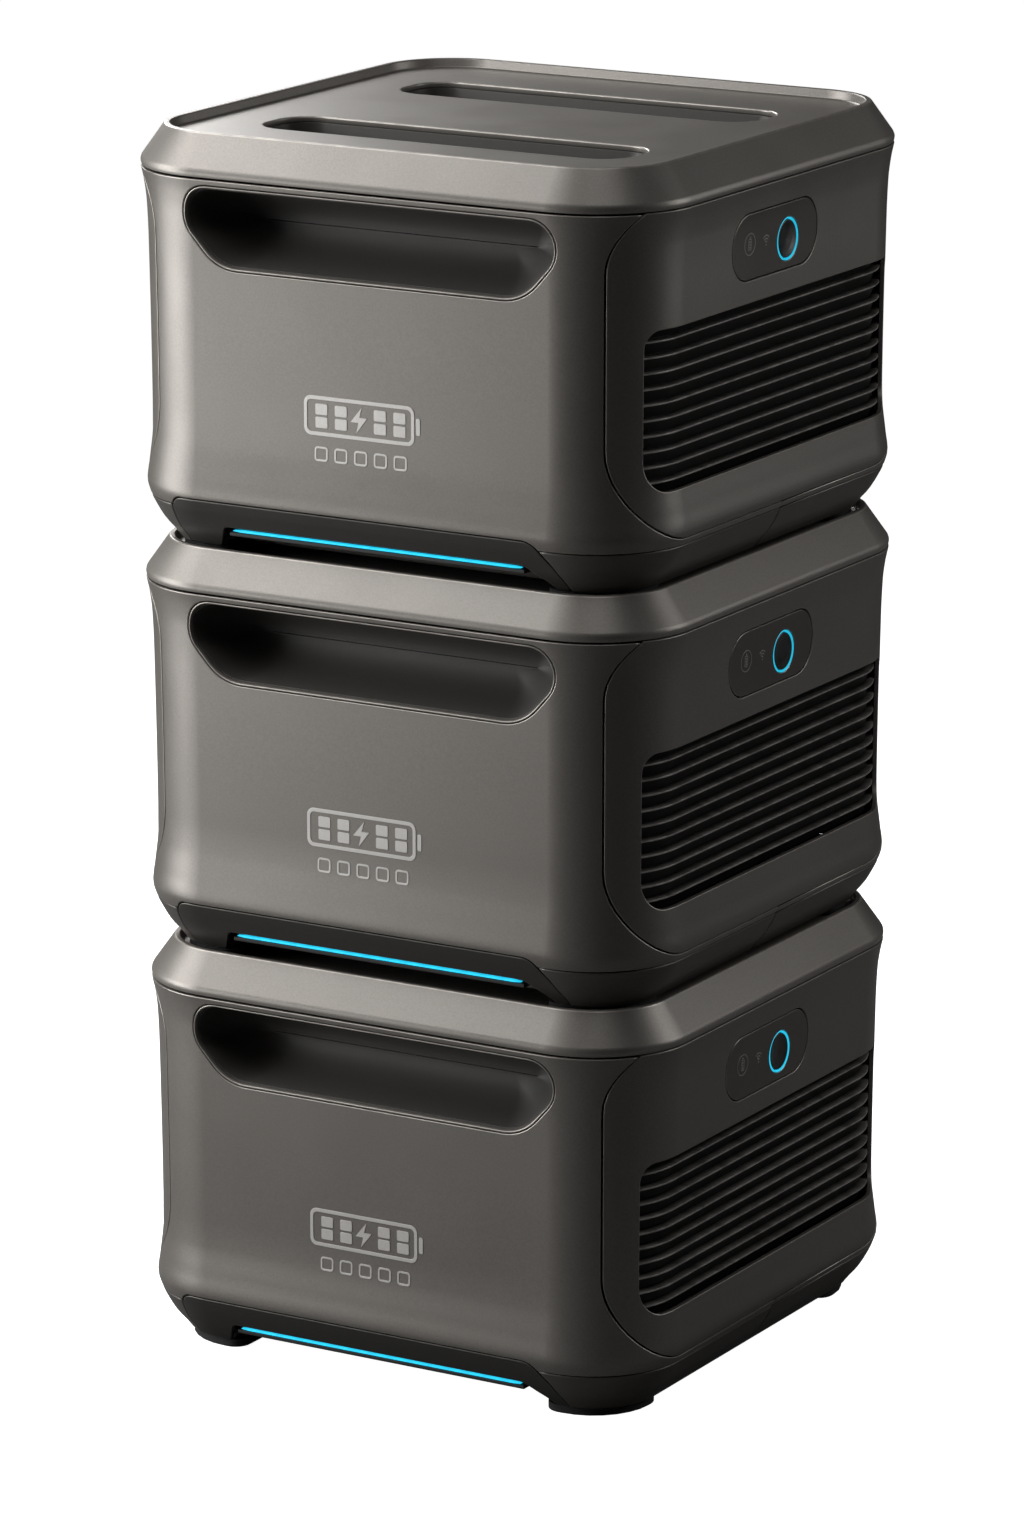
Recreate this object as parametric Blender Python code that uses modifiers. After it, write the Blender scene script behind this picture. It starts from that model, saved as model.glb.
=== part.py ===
"""Free-standing stack of identical home battery modules, each an assembly of separate pieces.

Run with:  blender --background --python part.py
Units are metres and +Z is up. The front is -Y and the control side is +X. The origin is the
middle of the footprint, on the surface that the stack stands on.
"""
import math

import bmesh
import bpy
from mathutils import Vector

# ------------------------------------------------------------------ driving dimensions
MODULES = 3
WIDTH = 0.395            # along X at the widest ring, the lid's lower edge
DEPTH = 0.392            # along Y at the same ring
CORNER = 0.068           # plan radius of the corners at that ring
CREASE_Z = 0.034         # body shell above, base tray below
SEAM_Z = 0.248           # body shell below, lid above
CREST_Z = 0.275          # top of the lid's rim
DECK_Z = 0.269           # recessed deck inside the rim
GAP = 0.0003             # clearance between pieces that touch
PITCH = DECK_Z + GAP     # a module's feet rest on the deck of the one below
WALL = 0.003             # moulded wall
FOOT_ROOT = 0.010        # how far up into the tray a foot's stem reaches
OUTSIDE = 0.230          # where a cutter that starts beyond the shell starts
CORNER_STEPS = 4         # segments in a quarter-round corner
ARC_STEPS = 2            # segments in an outline's rounded corner

# Profiles run upwards as (height, inset from the widest ring).
SKIRT_PROFILE = [
    (0.005, 0.0245), (0.011, 0.0200), (0.0185, 0.0135), (0.026, 0.0089), (CREASE_Z, 0.0050),
]
BODY_PROFILE = [
    (CREASE_Z, 0.0050), (0.043, 0.0026), (0.054, 0.0044), (0.069, 0.0068), (0.200, 0.0054),
    (0.2245, 0.0045), (0.2385, 0.0028), (SEAM_Z, 0.0008),
]
LID_PROFILE = [
    (SEAM_Z, 0.0008), (0.252, 0.0), (0.2727, 0.0138), (CREST_Z, 0.0168), (0.2744, 0.0195),
    (DECK_Z, 0.0230),
]

# Carry handles, front and rear: a wide scoop with slanted ends, seen along Y.
HANDLE_TOP = 0.2435
HANDLE_BOTTOM = 0.1895
HANDLE_HALF = 0.137
HANDLE_FLOOR_HALF = 0.112
HANDLE_RIM = 0.003
HANDLE_DEPTH = 0.043

# Front trim with the light bar in its arch.
TRIM_TOP = 0.0395
ARCH_Z = 0.0220
ARCH_HALF = 0.112
ARCH_LEFT_FOOT = -0.122
ARCH_RIGHT, ARCH_RIGHT_FOOT = 0.110, 0.128
TRIM_LEFT = -0.151
TRIM_RIGHT_TOP = 0.119
TRIM_RIGHT_FOOT = 0.141
RECESS_Y = -0.150        # back of the arch's recess
BAR_HALF = 0.107
BAR_LOW, BAR_HIGH = 0.0186, 0.0212

# Side covers wrap both upright corners; their outlines are drawn in Y and Z.
COVER_HALF = 0.1840
COVER_BOTTOM = 0.0385
VENT_HALF = 0.1640
VENT_LOW, VENT_HIGH = 0.070, 0.173
SLATS = 11

# Control panel on the right cover.
PANEL_LOW_Y, PANEL_HIGH_Y = -0.067, 0.046
PANEL_LOW_Z, PANEL_HIGH_Z = 0.188, 0.231
BUTTON_Y, BUTTON_Z = 0.007, 0.2070
BUTTON_RADIUS = 0.0124
RING_INNER, RING_OUTER = 0.0127, 0.0142
BUTTON_SIDES = 20

# Lid slots that the fingers, or the module above, drop into.
SLOT_Y = 0.085
SLOT_HALF_X = 0.135
SLOT_HALF_Y = 0.028
SLOT_CORNER = 0.022
SLOT_FLOOR = 0.2475

# Pieces inside.
FAN_Z = 0.120
FAN_SIZE = 0.092
FAN_BACK, FAN_FRONT = 0.150, 0.172
FAN_BORE = 0.0430
BLADES = 7
BLADE_TIP = 0.0410
HUB_RADIUS = 0.0165
PORT_HALF_X = 0.065
PORT_LOW, PORT_HIGH = 0.074, 0.126
SOCKET_X = 0.032

# ------------------------------------------------------------------ scene and materials


def clear_scene():
    for item in list(bpy.data.objects):
        bpy.data.objects.remove(item, do_unlink=True)


def new_collection(name):
    made = bpy.data.collections.new(name)
    bpy.context.scene.collection.children.link(made)
    return made


def material(name, colour, roughness, metallic=0.0, glow=0.0):
    made = bpy.data.materials.new(name)
    made.use_nodes = True
    shader = made.node_tree.nodes["Principled BSDF"]
    shader.inputs["Base Color"].default_value = (*colour, 1.0)
    shader.inputs["Roughness"].default_value = roughness
    shader.inputs["Metallic"].default_value = metallic
    if glow:
        shader.inputs["Emission Color"].default_value = (*colour, 1.0)
        shader.inputs["Emission Strength"].default_value = glow
    return made


clear_scene()
PARTS = new_collection("battery_stack")
CUTTERS = new_collection("cutters")
TITANIUM = material("shell_titanium", (0.165, 0.152, 0.138), 0.42, 0.35)
LID_GREY = material("lid_titanium", (0.195, 0.180, 0.163), 0.42, 0.35)
DARK = material("trim_dark", (0.042, 0.040, 0.036), 0.45)
COVER = material("cover_dark", (0.060, 0.056, 0.050), 0.45)
HANDLE = material("handle_dark", (0.050, 0.046, 0.040), 0.50)
BLACK = material("inner_black", (0.016, 0.016, 0.015), 0.55)
GLOSS = material("button_gloss", (0.012, 0.013, 0.014), 0.15)
CYAN = material("light_cyan", (0.0, 0.70, 1.0), 0.30, 0.0, 3.0)
CELL = material("cell_aluminium", (0.42, 0.43, 0.45), 0.38, 0.8)
BOARD = material("board_green", (0.02, 0.14, 0.06), 0.50)

# ------------------------------------------------------------------ shape helpers


def rounded(corners, radii, steps=ARC_STEPS):
    """A polygon's points with each corner rounded; the corners run anticlockwise."""
    points = []
    count = len(corners)
    for index, radius in enumerate(radii):
        here = Vector(corners[index])
        to_last = (Vector(corners[index - 1]) - here).normalized()
        to_next = (Vector(corners[(index + 1) % count]) - here).normalized()
        if radius <= 0:
            points.append(tuple(here))
            continue
        half = to_last.angle(to_next) / 2
        centre = here + (to_last + to_next).normalized() * (radius / math.sin(half))
        start = here + to_last * (radius / math.tan(half)) - centre
        finish = here + to_next * (radius / math.tan(half)) - centre
        sweep = start.angle_signed(finish)
        for step in range(steps + 1):
            angle = -sweep * step / steps
            turned = Vector((
                start.x * math.cos(angle) - start.y * math.sin(angle),
                start.x * math.sin(angle) + start.y * math.cos(angle),
            ))
            points.append(tuple(centre + turned))
    return points


def rectangle(low_u, low_v, high_u, high_v, radius, steps=ARC_STEPS):
    corners = [(low_u, low_v), (high_u, low_v), (high_u, high_v), (low_u, high_v)]
    return rounded(corners, [radius] * 4, steps)


def plan_ring(height, inset):
    """The module's rounded plan at one height, anticlockwise from above."""
    middle_x, middle_y = WIDTH / 2 - CORNER, DEPTH / 2 - CORNER
    radius = CORNER - inset
    points = []
    for sign_x, sign_y, start in ((1, -1, -90), (1, 1, 0), (-1, 1, 90), (-1, -1, 180)):
        for step in range(CORNER_STEPS + 1):
            angle = math.radians(start + 90 * step / CORNER_STEPS)
            x = sign_x * middle_x + radius * math.cos(angle)
            y = sign_y * middle_y + radius * math.sin(angle)
            points.append((x, y, height))
    return points


def inset_at(height):
    """How far the outer wall stands in from the widest ring at one height."""
    profile = SKIRT_PROFILE + BODY_PROFILE[1:]
    for (low, low_inset), (high, high_inset) in zip(profile, profile[1:]):
        if height <= high:
            share = max(0.0, (height - low) / (high - low))
            return low_inset + (high_inset - low_inset) * share
    return profile[-1][1]


def place(mesh, name, parent, look, collection=None, location=(0, 0, 0)):
    item = bpy.data.objects.new(name, mesh)
    item.parent = parent
    item.location = location
    (collection or PARTS).objects.link(item)
    if look is None:
        item.hide_render = True
        item.display_type = "WIRE"
    else:
        mesh.materials.append(look)
    return item


def loft(name, sections, parent, look, cap_first=False, cap_last=False):
    """Joins closed sections with equal point counts; without both caps it is an open surface."""
    shape = bmesh.new()
    rows = [[shape.verts.new(point) for point in section] for section in sections]
    count = len(rows[0])
    for low, high in zip(rows, rows[1:]):
        for index in range(count):
            after = (index + 1) % count
            shape.faces.new((low[index], low[after], high[after], high[index]))
    if cap_first:
        shape.faces.new(list(reversed(rows[0])))
    if cap_last:
        shape.faces.new(rows[-1])
    if cap_first and cap_last:
        shape.normal_update()
    bmesh.ops.recalc_face_normals(shape, faces=shape.faces)
    mesh = bpy.data.meshes.new(name)
    shape.to_mesh(mesh)
    shape.free()
    return place(mesh, name, parent, look, None if look else CUTTERS)


def prism(name, outline, axis, low, high, parent, look=None):
    """An outline extruded along X, Y or Z between two values."""
    shape = bmesh.new()
    slot = "XYZ".index(axis)
    points = [(*point[:slot], low, *point[slot:]) for point in outline]
    face = shape.faces.new([shape.verts.new(point) for point in points])
    grown = bmesh.ops.extrude_face_region(shape, geom=[face])
    moved = [item for item in grown["geom"] if isinstance(item, bmesh.types.BMVert)]
    travel = Vector((0, 0, 0))
    travel[slot] = high - low
    bmesh.ops.translate(shape, verts=moved, vec=travel)
    shape.normal_update()
    bmesh.ops.recalc_face_normals(shape, faces=shape.faces)
    mesh = bpy.data.meshes.new(name)
    shape.to_mesh(mesh)
    shape.free()
    return place(mesh, name, parent, look, None if look else CUTTERS)


def block(name, low, high, parent, look=None):
    """A box between two corners."""
    shape = bmesh.new()
    bmesh.ops.create_cube(shape, size=1.0)
    for axis in range(3):
        for vert in shape.verts:
            vert.co[axis] = low[axis] if vert.co[axis] < 0 else high[axis]
    mesh = bpy.data.meshes.new(name)
    shape.to_mesh(mesh)
    shape.free()
    return place(mesh, name, parent, look, None if look else CUTTERS)


def drum(name, radius, low_x, high_x, centre, parent, look=None, sides=BUTTON_SIDES):
    """A cylinder along X, its origin at (0, centre y, centre z)."""
    shape = bmesh.new()
    bmesh.ops.create_cone(
        shape, cap_ends=True, segments=sides, radius1=radius, radius2=radius, depth=high_x - low_x
    )
    for vert in shape.verts:
        x, y, z = vert.co
        vert.co = ((low_x + high_x) / 2 + z, x, y)
    mesh = bpy.data.meshes.new(name)
    shape.to_mesh(mesh)
    shape.free()
    where = (0, centre[0], centre[1])
    return place(mesh, name, parent, look, None if look else CUTTERS, where)


def solidify(item, thickness=WALL):
    made = item.modifiers.new("wall", "SOLIDIFY")
    made.thickness = thickness
    made.offset = -1
    made.use_even_offset = True


def combine(item, operation, *others):
    for other in others:
        made = item.modifiers.new(operation.lower(), "BOOLEAN")
        made.operation = operation
        made.solver = "EXACT"
        made.object = other


def cut(item, *others):
    combine(item, "DIFFERENCE", *others)


def bevel(item, width, segments=1):
    made = item.modifiers.new("bevel", "BEVEL")
    made.width = width
    made.segments = segments
    made.limit_method = "ANGLE"


# ------------------------------------------------------------------ outlines


def handle_outline(inset):
    """The handle's mouth along Y, as (x, z), drawn in by an inset."""
    side, floor = HANDLE_HALF - inset, HANDLE_FLOOR_HALF - inset * 0.7
    top, bottom = HANDLE_TOP - inset, HANDLE_BOTTOM + inset
    shoulder = bottom + (top - bottom) * 0.51
    corners = [
        (-floor, bottom), (floor, bottom), (side, shoulder), (side, top), (-side, top), (-side, shoulder),
    ]
    share = (top - bottom) / (HANDLE_TOP - HANDLE_BOTTOM)
    upper, middle, lower = 0.0180 * share, 0.0150 * share, 0.020 * share
    return rounded(corners, [lower, lower, middle, upper, upper, middle])


def trim_outline(inset, arch):
    """The front trim along Y, as (x, z): straight left end, sweeping right end."""
    low = 0.006 + inset
    top = TRIM_TOP - inset
    corners = [
        (TRIM_LEFT - 0.006 + inset, low), (TRIM_RIGHT_FOOT - inset, low),
        (TRIM_RIGHT_FOOT - 0.010 - inset, 0.0235), (TRIM_RIGHT_TOP - inset, top), (TRIM_LEFT + inset, top),
    ]
    radii = [0.0, 0.0, 0.020, 0.014, 0.012]
    if arch:
        corners[1:1] = [
            (ARCH_LEFT_FOOT, low), (-ARCH_HALF, ARCH_Z), (ARCH_RIGHT, ARCH_Z), (ARCH_RIGHT_FOOT, low),
        ]
        radii[1:1] = [0.0, 0.005, 0.010, 0.0]
    return rounded(corners, radii)


def cover_outline(inset):
    """A side cover along X, as (y, z). It runs past the seam, where the wall's own top ends it."""
    side, bottom, top = COVER_HALF - inset, COVER_BOTTOM + inset, SEAM_Z + 0.010
    corners = [(-side, bottom), (side, bottom), (side, top), (-side, top)]
    return rounded(corners, [0.060, 0.060, 0.048, 0.048], 4)


def vent_outline(inset):
    corners = [
        (-VENT_HALF + inset, VENT_LOW + inset), (VENT_HALF - inset, VENT_LOW + inset),
        (VENT_HALF - inset, VENT_HIGH - inset), (-VENT_HALF + inset, VENT_HIGH - inset),
    ]
    return rounded(corners, [0.020, 0.020, 0.012, 0.012])


def slot_outline(centre, inset):
    """A lid slot from above, as (x, y)."""
    half_x, half_y = SLOT_HALF_X - inset, SLOT_HALF_Y - inset
    return rectangle(-half_x, centre - half_y, half_x, centre + half_y, SLOT_CORNER - inset)


def panel_outline(inset):
    radius = (PANEL_HIGH_Z - PANEL_LOW_Z) / 2 - 0.0004 - inset
    return rectangle(
        PANEL_LOW_Y + inset, PANEL_LOW_Z + inset, PANEL_HIGH_Y - inset, PANEL_HIGH_Z - inset, radius, 4
    )


# ------------------------------------------------------------------ shells


def wall_blank(name, parent, look):
    """The body's outer wall all round, before it is cut into pieces."""
    profile = list(BODY_PROFILE)
    profile[0] = (CREASE_Z + GAP, profile[0][1])
    profile[-1] = (SEAM_Z - GAP, profile[-1][1])
    item = loft(name, [plan_ring(*point) for point in profile], parent, look)
    solidify(item)
    return item


def base_tray(tag, parent):
    top = (CREASE_Z - GAP, SKIRT_PROFILE[-1][1])
    profile = SKIRT_PROFILE[:-1] + [top]
    tray = loft(
        f"{tag}_base_tray", [plan_ring(*point) for point in profile], parent, DARK, True, True
    )
    foot_inset, foot_reach = 0.0262, 0.016      # in from the widest ring, and past the corner arc
    for sign_x in (-1, 1):
        for sign_y in (-1, 1):
            far_x, far_y = WIDTH / 2 - foot_inset, DEPTH / 2 - foot_inset
            near_x, near_y = WIDTH / 2 - CORNER - foot_reach, DEPTH / 2 - CORNER - foot_reach
            corners = [(near_x, near_y), (far_x, near_y), (far_x, far_y), (near_x, far_y)]
            outline = rounded(corners, [0.0, 0.0, CORNER - foot_inset, 0.0], 3)
            outline = [(sign_x * x, sign_y * y) for x, y in outline]
            foot = prism(f"{tag}_foot_{sign_x}_{sign_y}", outline, "Z", 0.0, FOOT_ROOT, parent)
            combine(tray, "UNION", foot)
    well_corners = [(-0.172, -0.142), (0.172, -0.142), (0.172, 0.168), (-0.172, 0.168)]
    well_outline = rounded(well_corners, [0.012, 0.012, 0.040, 0.040])
    well = prism(f"{tag}_tray_well", well_outline, "Z", 0.0145, 0.060, parent)
    recess = prism(f"{tag}_trim_recess", trim_outline(-GAP, False), "Y", -OUTSIDE, RECESS_Y, parent)
    half = ARCH_HALF + 0.006
    below = block(f"{tag}_arch_below", (-half, -OUTSIDE, -0.010), (half, RECESS_Y, 0.012), parent)
    cut(tray, well, recess, below)
    return tray


def body_shell(tag, parent, cutters):
    shell = wall_blank(f"{tag}_body_shell", parent, TITANIUM)
    grown = handle_outline(-GAP)
    front = prism(f"{tag}_front_mouth", grown, "Y", -OUTSIDE, -0.150, parent)
    rear = prism(f"{tag}_rear_mouth", grown, "Y", 0.150, OUTSIDE, parent)
    trim = prism(f"{tag}_trim_window", trim_outline(-GAP, False), "Y", -OUTSIDE, -0.160, parent)
    port = prism(f"{tag}_port_window", port_outline(-GAP), "Y", 0.160, OUTSIDE, parent)
    cut(shell, front, rear, trim, port, *cutters)
    return shell


def lid(tag, parent):
    sections = [plan_ring(height, inset) for height, inset in LID_PROFILE]
    top = loft(f"{tag}_lid", sections, parent, LID_GREY, cap_last=True)
    solidify(top)
    for index, sign in enumerate((-1, 1)):
        centre = sign * SLOT_Y
        skin = 0.0025
        base, roof = SLOT_FLOOR - skin, DECK_Z - 0.001
        housing = prism(f"{tag}_slot_housing_{index}", slot_outline(centre, -skin), "Z", base, roof, parent)
        levels = [(SLOT_FLOOR, 0.005), (DECK_Z - 0.003, 0.0), (DECK_Z + 0.010, 0.0)]
        rings = []
        for height, inset in levels:
            rings.append([(x, y, height) for x, y in slot_outline(centre, inset)])
        pocket = loft(f"{tag}_slot_pocket_{index}", rings, parent, None, True, True)
        combine(top, "UNION", housing)
        cut(top, pocket)
    return top


def front_trim(tag, parent):
    """The dark lower front piece: a slice of the wall with an arch in its lower edge."""
    profile = SKIRT_PROFILE + [(0.043, 0.0026), (0.050, 0.0038)]
    item = loft(f"{tag}_front_trim", [plan_ring(*point) for point in profile], parent, DARK)
    solidify(item, 0.0035)
    outline = prism(f"{tag}_trim_outline", trim_outline(GAP, True), "Y", -OUTSIDE, -0.120, parent)
    combine(item, "INTERSECT", outline)
    return item


def light_bar(tag, parent):
    front = -(DEPTH / 2 - inset_at(BAR_HIGH)) + 0.0012
    low, high = (-BAR_HALF, front, BAR_LOW), (BAR_HALF, front + 0.006, BAR_HIGH)
    item = block(f"{tag}_light_bar", low, high, parent, CYAN)
    bevel(item, 0.0005)
    return item


def handle_cup(tag, place_name, sign, parent):
    """A scoop behind one mouth. sign is -1 at the front and +1 at the rear."""
    depths = [(0.0003, HANDLE_RIM), (0.026, 0.007), (HANDLE_DEPTH, 0.013)]
    sections = []
    for depth, inset in depths:
        ring = []
        for x, z in handle_outline(inset):
            surface = DEPTH / 2 - inset_at(z)
            flat = DEPTH / 2 - inset_at(0.2)
            start = surface if depth < 0.002 else flat
            ring.append((x, sign * (start - depth), z))
        sections.append(ring if sign > 0 else list(reversed(ring)))
    item = loft(f"{tag}_{place_name}_handle_cup", sections, parent, HANDLE, cap_last=True)
    solidify(item, HANDLE_RIM - 2 * GAP)
    return item


# ------------------------------------------------------------------ sides


def side_cover(tag, side, sign, parent, window):
    item = wall_blank(f"{tag}_{side}_cover", parent, COVER)
    inside, outside = sign * 0.120, sign * OUTSIDE
    blank = prism(f"{tag}_{side}_outline", cover_outline(GAP), "X", inside, outside, parent)
    combine(item, "INTERSECT", blank)
    vent = prism(f"{tag}_{side}_vent", vent_outline(0.0), "X", inside, outside, parent)
    cut(item, vent)
    if window:
        hole = prism(f"{tag}_panel_window", panel_outline(-GAP), "X", 0.160, OUTSIDE, parent)
        cut(item, hole)
    return item


def wrapped_point(along, height, inset, sign):
    """A point on the side wall. along is metres of Y on the flat, then round the corner."""
    flat = DEPTH / 2 - CORNER
    radius = CORNER - inset
    over = max(0.0, abs(along) - flat)
    angle = over / CORNER
    x = WIDTH / 2 - CORNER + radius * math.cos(angle)
    y = min(abs(along), flat) + radius * math.sin(angle)
    return (sign * x, math.copysign(y, along), height)


def grille(tag, side, sign, parent):
    """A louvred panel behind the vent: a saw-tooth section that follows the wall round."""
    low, high = VENT_LOW - 0.004, VENT_HIGH + 0.004
    face, back, root = 0.0103, 0.0185, 0.0165
    pitch = (high - low - 0.008) / SLATS
    section = [(low, face), (low + 0.004, face)]
    for slat in range(SLATS):
        start = low + 0.004 + slat * pitch
        section += [(start + 0.0004, root), (start + pitch, face)]
    section += [(high, face), (high, back), (low, back)]
    flat = DEPTH / 2 - CORNER
    facet = CORNER * math.pi / 2 / CORNER_STEPS
    stations = [-flat - 2 * facet, -flat - facet, -flat, flat, flat + facet, flat + 2 * facet]
    sections = []
    for along in stations:
        sections.append([wrapped_point(along, height, inset, sign) for height, inset in section])
    return loft(f"{tag}_{side}_grille", sections, parent, BLACK, True, True)


def control_panel(tag, parent):
    """The panel, the light ring round its button, and the button, which slides along -X."""
    skin = WIDTH / 2 - inset_at(BUTTON_Z)
    sections = []
    for along in (PANEL_LOW_Y - 0.002, PANEL_HIGH_Y + 0.002):
        outer = [(WIDTH / 2 - inset_at(z), along, z) for z in (0.186, 0.199, 0.224, 0.233)]
        inner = [(x - WALL, y, z) for x, y, z in reversed(outer)]
        sections.append(outer + inner)
    panel = loft(f"{tag}_control_fascia", sections, parent, COVER, True, True)
    outline = prism(f"{tag}_panel_outline", panel_outline(GAP), "X", 0.160, OUTSIDE, parent)
    combine(panel, "INTERSECT", outline)
    centre = (BUTTON_Y, BUTTON_Z)
    hole = drum(f"{tag}_button_hole", RING_OUTER + GAP, 0.160, 0.230, centre, parent)
    cut(panel, hole)
    low_x, high_x = skin - 0.0036, skin - 0.0002
    ring = drum(f"{tag}_button_light_ring", RING_OUTER, low_x, high_x, centre, parent, CYAN)
    bore = drum(f"{tag}_ring_bore", RING_INNER, 0.160, 0.230, centre, parent)
    cut(ring, bore)
    drum(f"{tag}_power_button", BUTTON_RADIUS, skin - 0.0050, skin - 0.0004, centre, parent, GLOSS)


# ------------------------------------------------------------------ pieces inside


def cell_pack(tag, parent):
    left, right, half, top = -0.160, 0.132, 0.136, 0.160
    pack = block(f"{tag}_cell_pack", (left, -half, 0.0165), (right, half, top), parent, CELL)
    rows, slit_half = 7, 0.0015
    for row in range(1, rows):
        x = left + (right - left) * row / rows
        low, high = (x - slit_half, -half - 0.010, top - 0.020), (x + slit_half, half + 0.010, top + 0.010)
        cut(pack, block(f"{tag}_cell_slit_{row}", low, high, parent))
    return pack


def management_board(tag, parent):
    low, high = (-0.120, -0.105, 0.1720), (0.105, 0.105, 0.1745)
    board = block(f"{tag}_management_board", low, high, parent, BOARD)
    blocks = [
        ((-0.100, -0.080, 0.1735), (-0.060, 0.070, 0.1860)),
        ((-0.030, -0.085, 0.1735), (0.020, -0.040, 0.1830)),
        ((0.045, -0.060, 0.1735), (0.085, 0.060, 0.1850)),
    ]
    for index, (low, high) in enumerate(blocks):
        combine(board, "UNION", block(f"{tag}_chip_{index}", low, high, parent))
    return board


def fan(tag, parent):
    """A cooling fan behind the right vent. Its rotor turns about X."""
    half = FAN_SIZE / 2
    outline = rectangle(-half, FAN_Z - half, half, FAN_Z + half, 0.006)
    frame = prism(f"{tag}_fan_frame", outline, "X", FAN_BACK, FAN_FRONT, parent, BLACK)
    centre = (0.0, FAN_Z)
    bore = drum(f"{tag}_fan_bore", FAN_BORE, 0.140, 0.190, centre, parent, sides=24)
    cut(frame, bore)
    reach, bar = half - 0.002, 0.004
    low_x, high_x = FAN_BACK + 0.0005, FAN_BACK + 0.0030
    strut = block(f"{tag}_fan_strut", (low_x, -reach, FAN_Z - bar), (high_x, reach, FAN_Z + bar), parent)
    low_x, high_x = FAN_BACK + 0.0007, FAN_BACK + 0.0028
    post = block(f"{tag}_fan_post", (low_x, -bar, FAN_Z - reach), (high_x, bar, FAN_Z + reach), parent)
    combine(frame, "UNION", strut, post)
    low_x, high_x = FAN_BACK + 0.005, FAN_FRONT - 0.003
    rotor = drum(f"{tag}_fan_rotor", HUB_RADIUS, low_x, high_x, centre, parent, BLACK, 14)
    for blade in range(BLADES):
        rotor_blade(tag, blade, rotor, centre, parent)


def rotor_blade(tag, blade, rotor, centre, parent):
    """A twisted blade lofted from the hub to its tip."""
    sections = []
    for radius, half_chord, pitch in ((HUB_RADIUS - 0.0015, 0.0060, 52), (BLADE_TIP, 0.0085, 30)):
        tilt = math.radians(pitch)
        ring = []
        for along, thick in ((-1, -1), (1, -1), (1, 1), (-1, 1)):
            chord, skin = along * half_chord, thick * 0.0007
            x = chord * math.sin(tilt) * 0.55 + skin * math.cos(tilt)
            side = chord * math.cos(tilt) - skin * math.sin(tilt)
            turn = 2 * math.pi * blade / BLADES
            y = radius * math.cos(turn) - side * math.sin(turn)
            z = radius * math.sin(turn) + side * math.cos(turn)
            ring.append((FAN_BACK + 0.0120 + x, centre[0] + y, centre[1] + z))
        sections.append(ring)
    piece = loft(f"{tag}_rotor_blade_{blade}", sections, parent, None, True, True)
    combine(rotor, "UNION", piece)


def port_outline(inset):
    half, low, high = PORT_HALF_X - inset, PORT_LOW + inset, PORT_HIGH - inset
    return rectangle(-half, low, half, high, 0.010 - inset)


def rear_ports(tag, parent):
    """The rear connector plate with two expansion sockets, and the terminal block behind it."""
    outer = DEPTH / 2 - inset_at(0.100)
    face = outer - 0.0004
    plate = prism(f"{tag}_rear_port_plate", port_outline(GAP), "Y", outer - WALL, face, parent, DARK)
    low, high = PORT_LOW + 0.012, PORT_HIGH - 0.012
    for index, x in enumerate((-SOCKET_X, SOCKET_X)):
        around = rectangle(x - 0.020, low, x + 0.020, high, 0.006)
        barrel = prism(f"{tag}_socket_{index}", around, "Y", outer - 0.022, outer - 0.001, parent)
        combine(plate, "UNION", barrel)
        within = rectangle(x - 0.017, low + WALL, x + 0.017, high - WALL, 0.004)
        mouth = prism(f"{tag}_mouth_{index}", within, "Y", outer - 0.019, OUTSIDE, parent)
        cut(plate, mouth)
    block_low, block_high = (-0.050, 0.143, 0.076), (0.050, 0.160, 0.112)
    base = block(f"{tag}_terminal_block", block_low, block_high, parent, BLACK)
    for index, x in enumerate((-SOCKET_X, SOCKET_X)):
        outline = rectangle(x - 0.008, 0.146, x + 0.008, 0.157, 0.002, 1)
        stud = prism(f"{tag}_stud_{index}", outline, "Z", 0.100, 0.122, parent)
        combine(base, "UNION", stud)


# ------------------------------------------------------------------ assembly


def build_module(number):
    tag = f"module_{number + 1}"
    parent = bpy.data.objects.new(f"{tag}_datum", None)
    parent.location = (0, 0, number * PITCH)
    PARTS.objects.link(parent)
    windows = []
    for side, sign in (("right", 1), ("left", -1)):
        inside, outside = sign * 0.100, sign * OUTSIDE
        windows.append(prism(f"{tag}_{side}_window", cover_outline(-GAP), "X", inside, outside, parent))
        side_cover(tag, side, sign, parent, sign > 0)
        grille(tag, side, sign, parent)
    body_shell(tag, parent, windows)
    base_tray(tag, parent)
    lid(tag, parent)
    front_trim(tag, parent)
    light_bar(tag, parent)
    handle_cup(tag, "front", -1, parent)
    handle_cup(tag, "rear", 1, parent)
    control_panel(tag, parent)
    cell_pack(tag, parent)
    management_board(tag, parent)
    fan(tag, parent)
    rear_ports(tag, parent)


for module_number in range(MODULES):
    build_module(module_number)

bpy.context.view_layer.update()
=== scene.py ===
"""Looks of a free-standing stack of three home battery modules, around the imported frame.

Metres, +Z up; the front is -Y and the control side is +X. Heights count from a module's feet.
Every piece is made once and placed on each module. A wall piece is drawn flat, as an outline in
(along, height), where along runs anticlockwise round the module from the middle of its front,
and is then laid on the module's curved wall.
"""
import math

import bpy
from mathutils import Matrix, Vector, geometry


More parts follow.
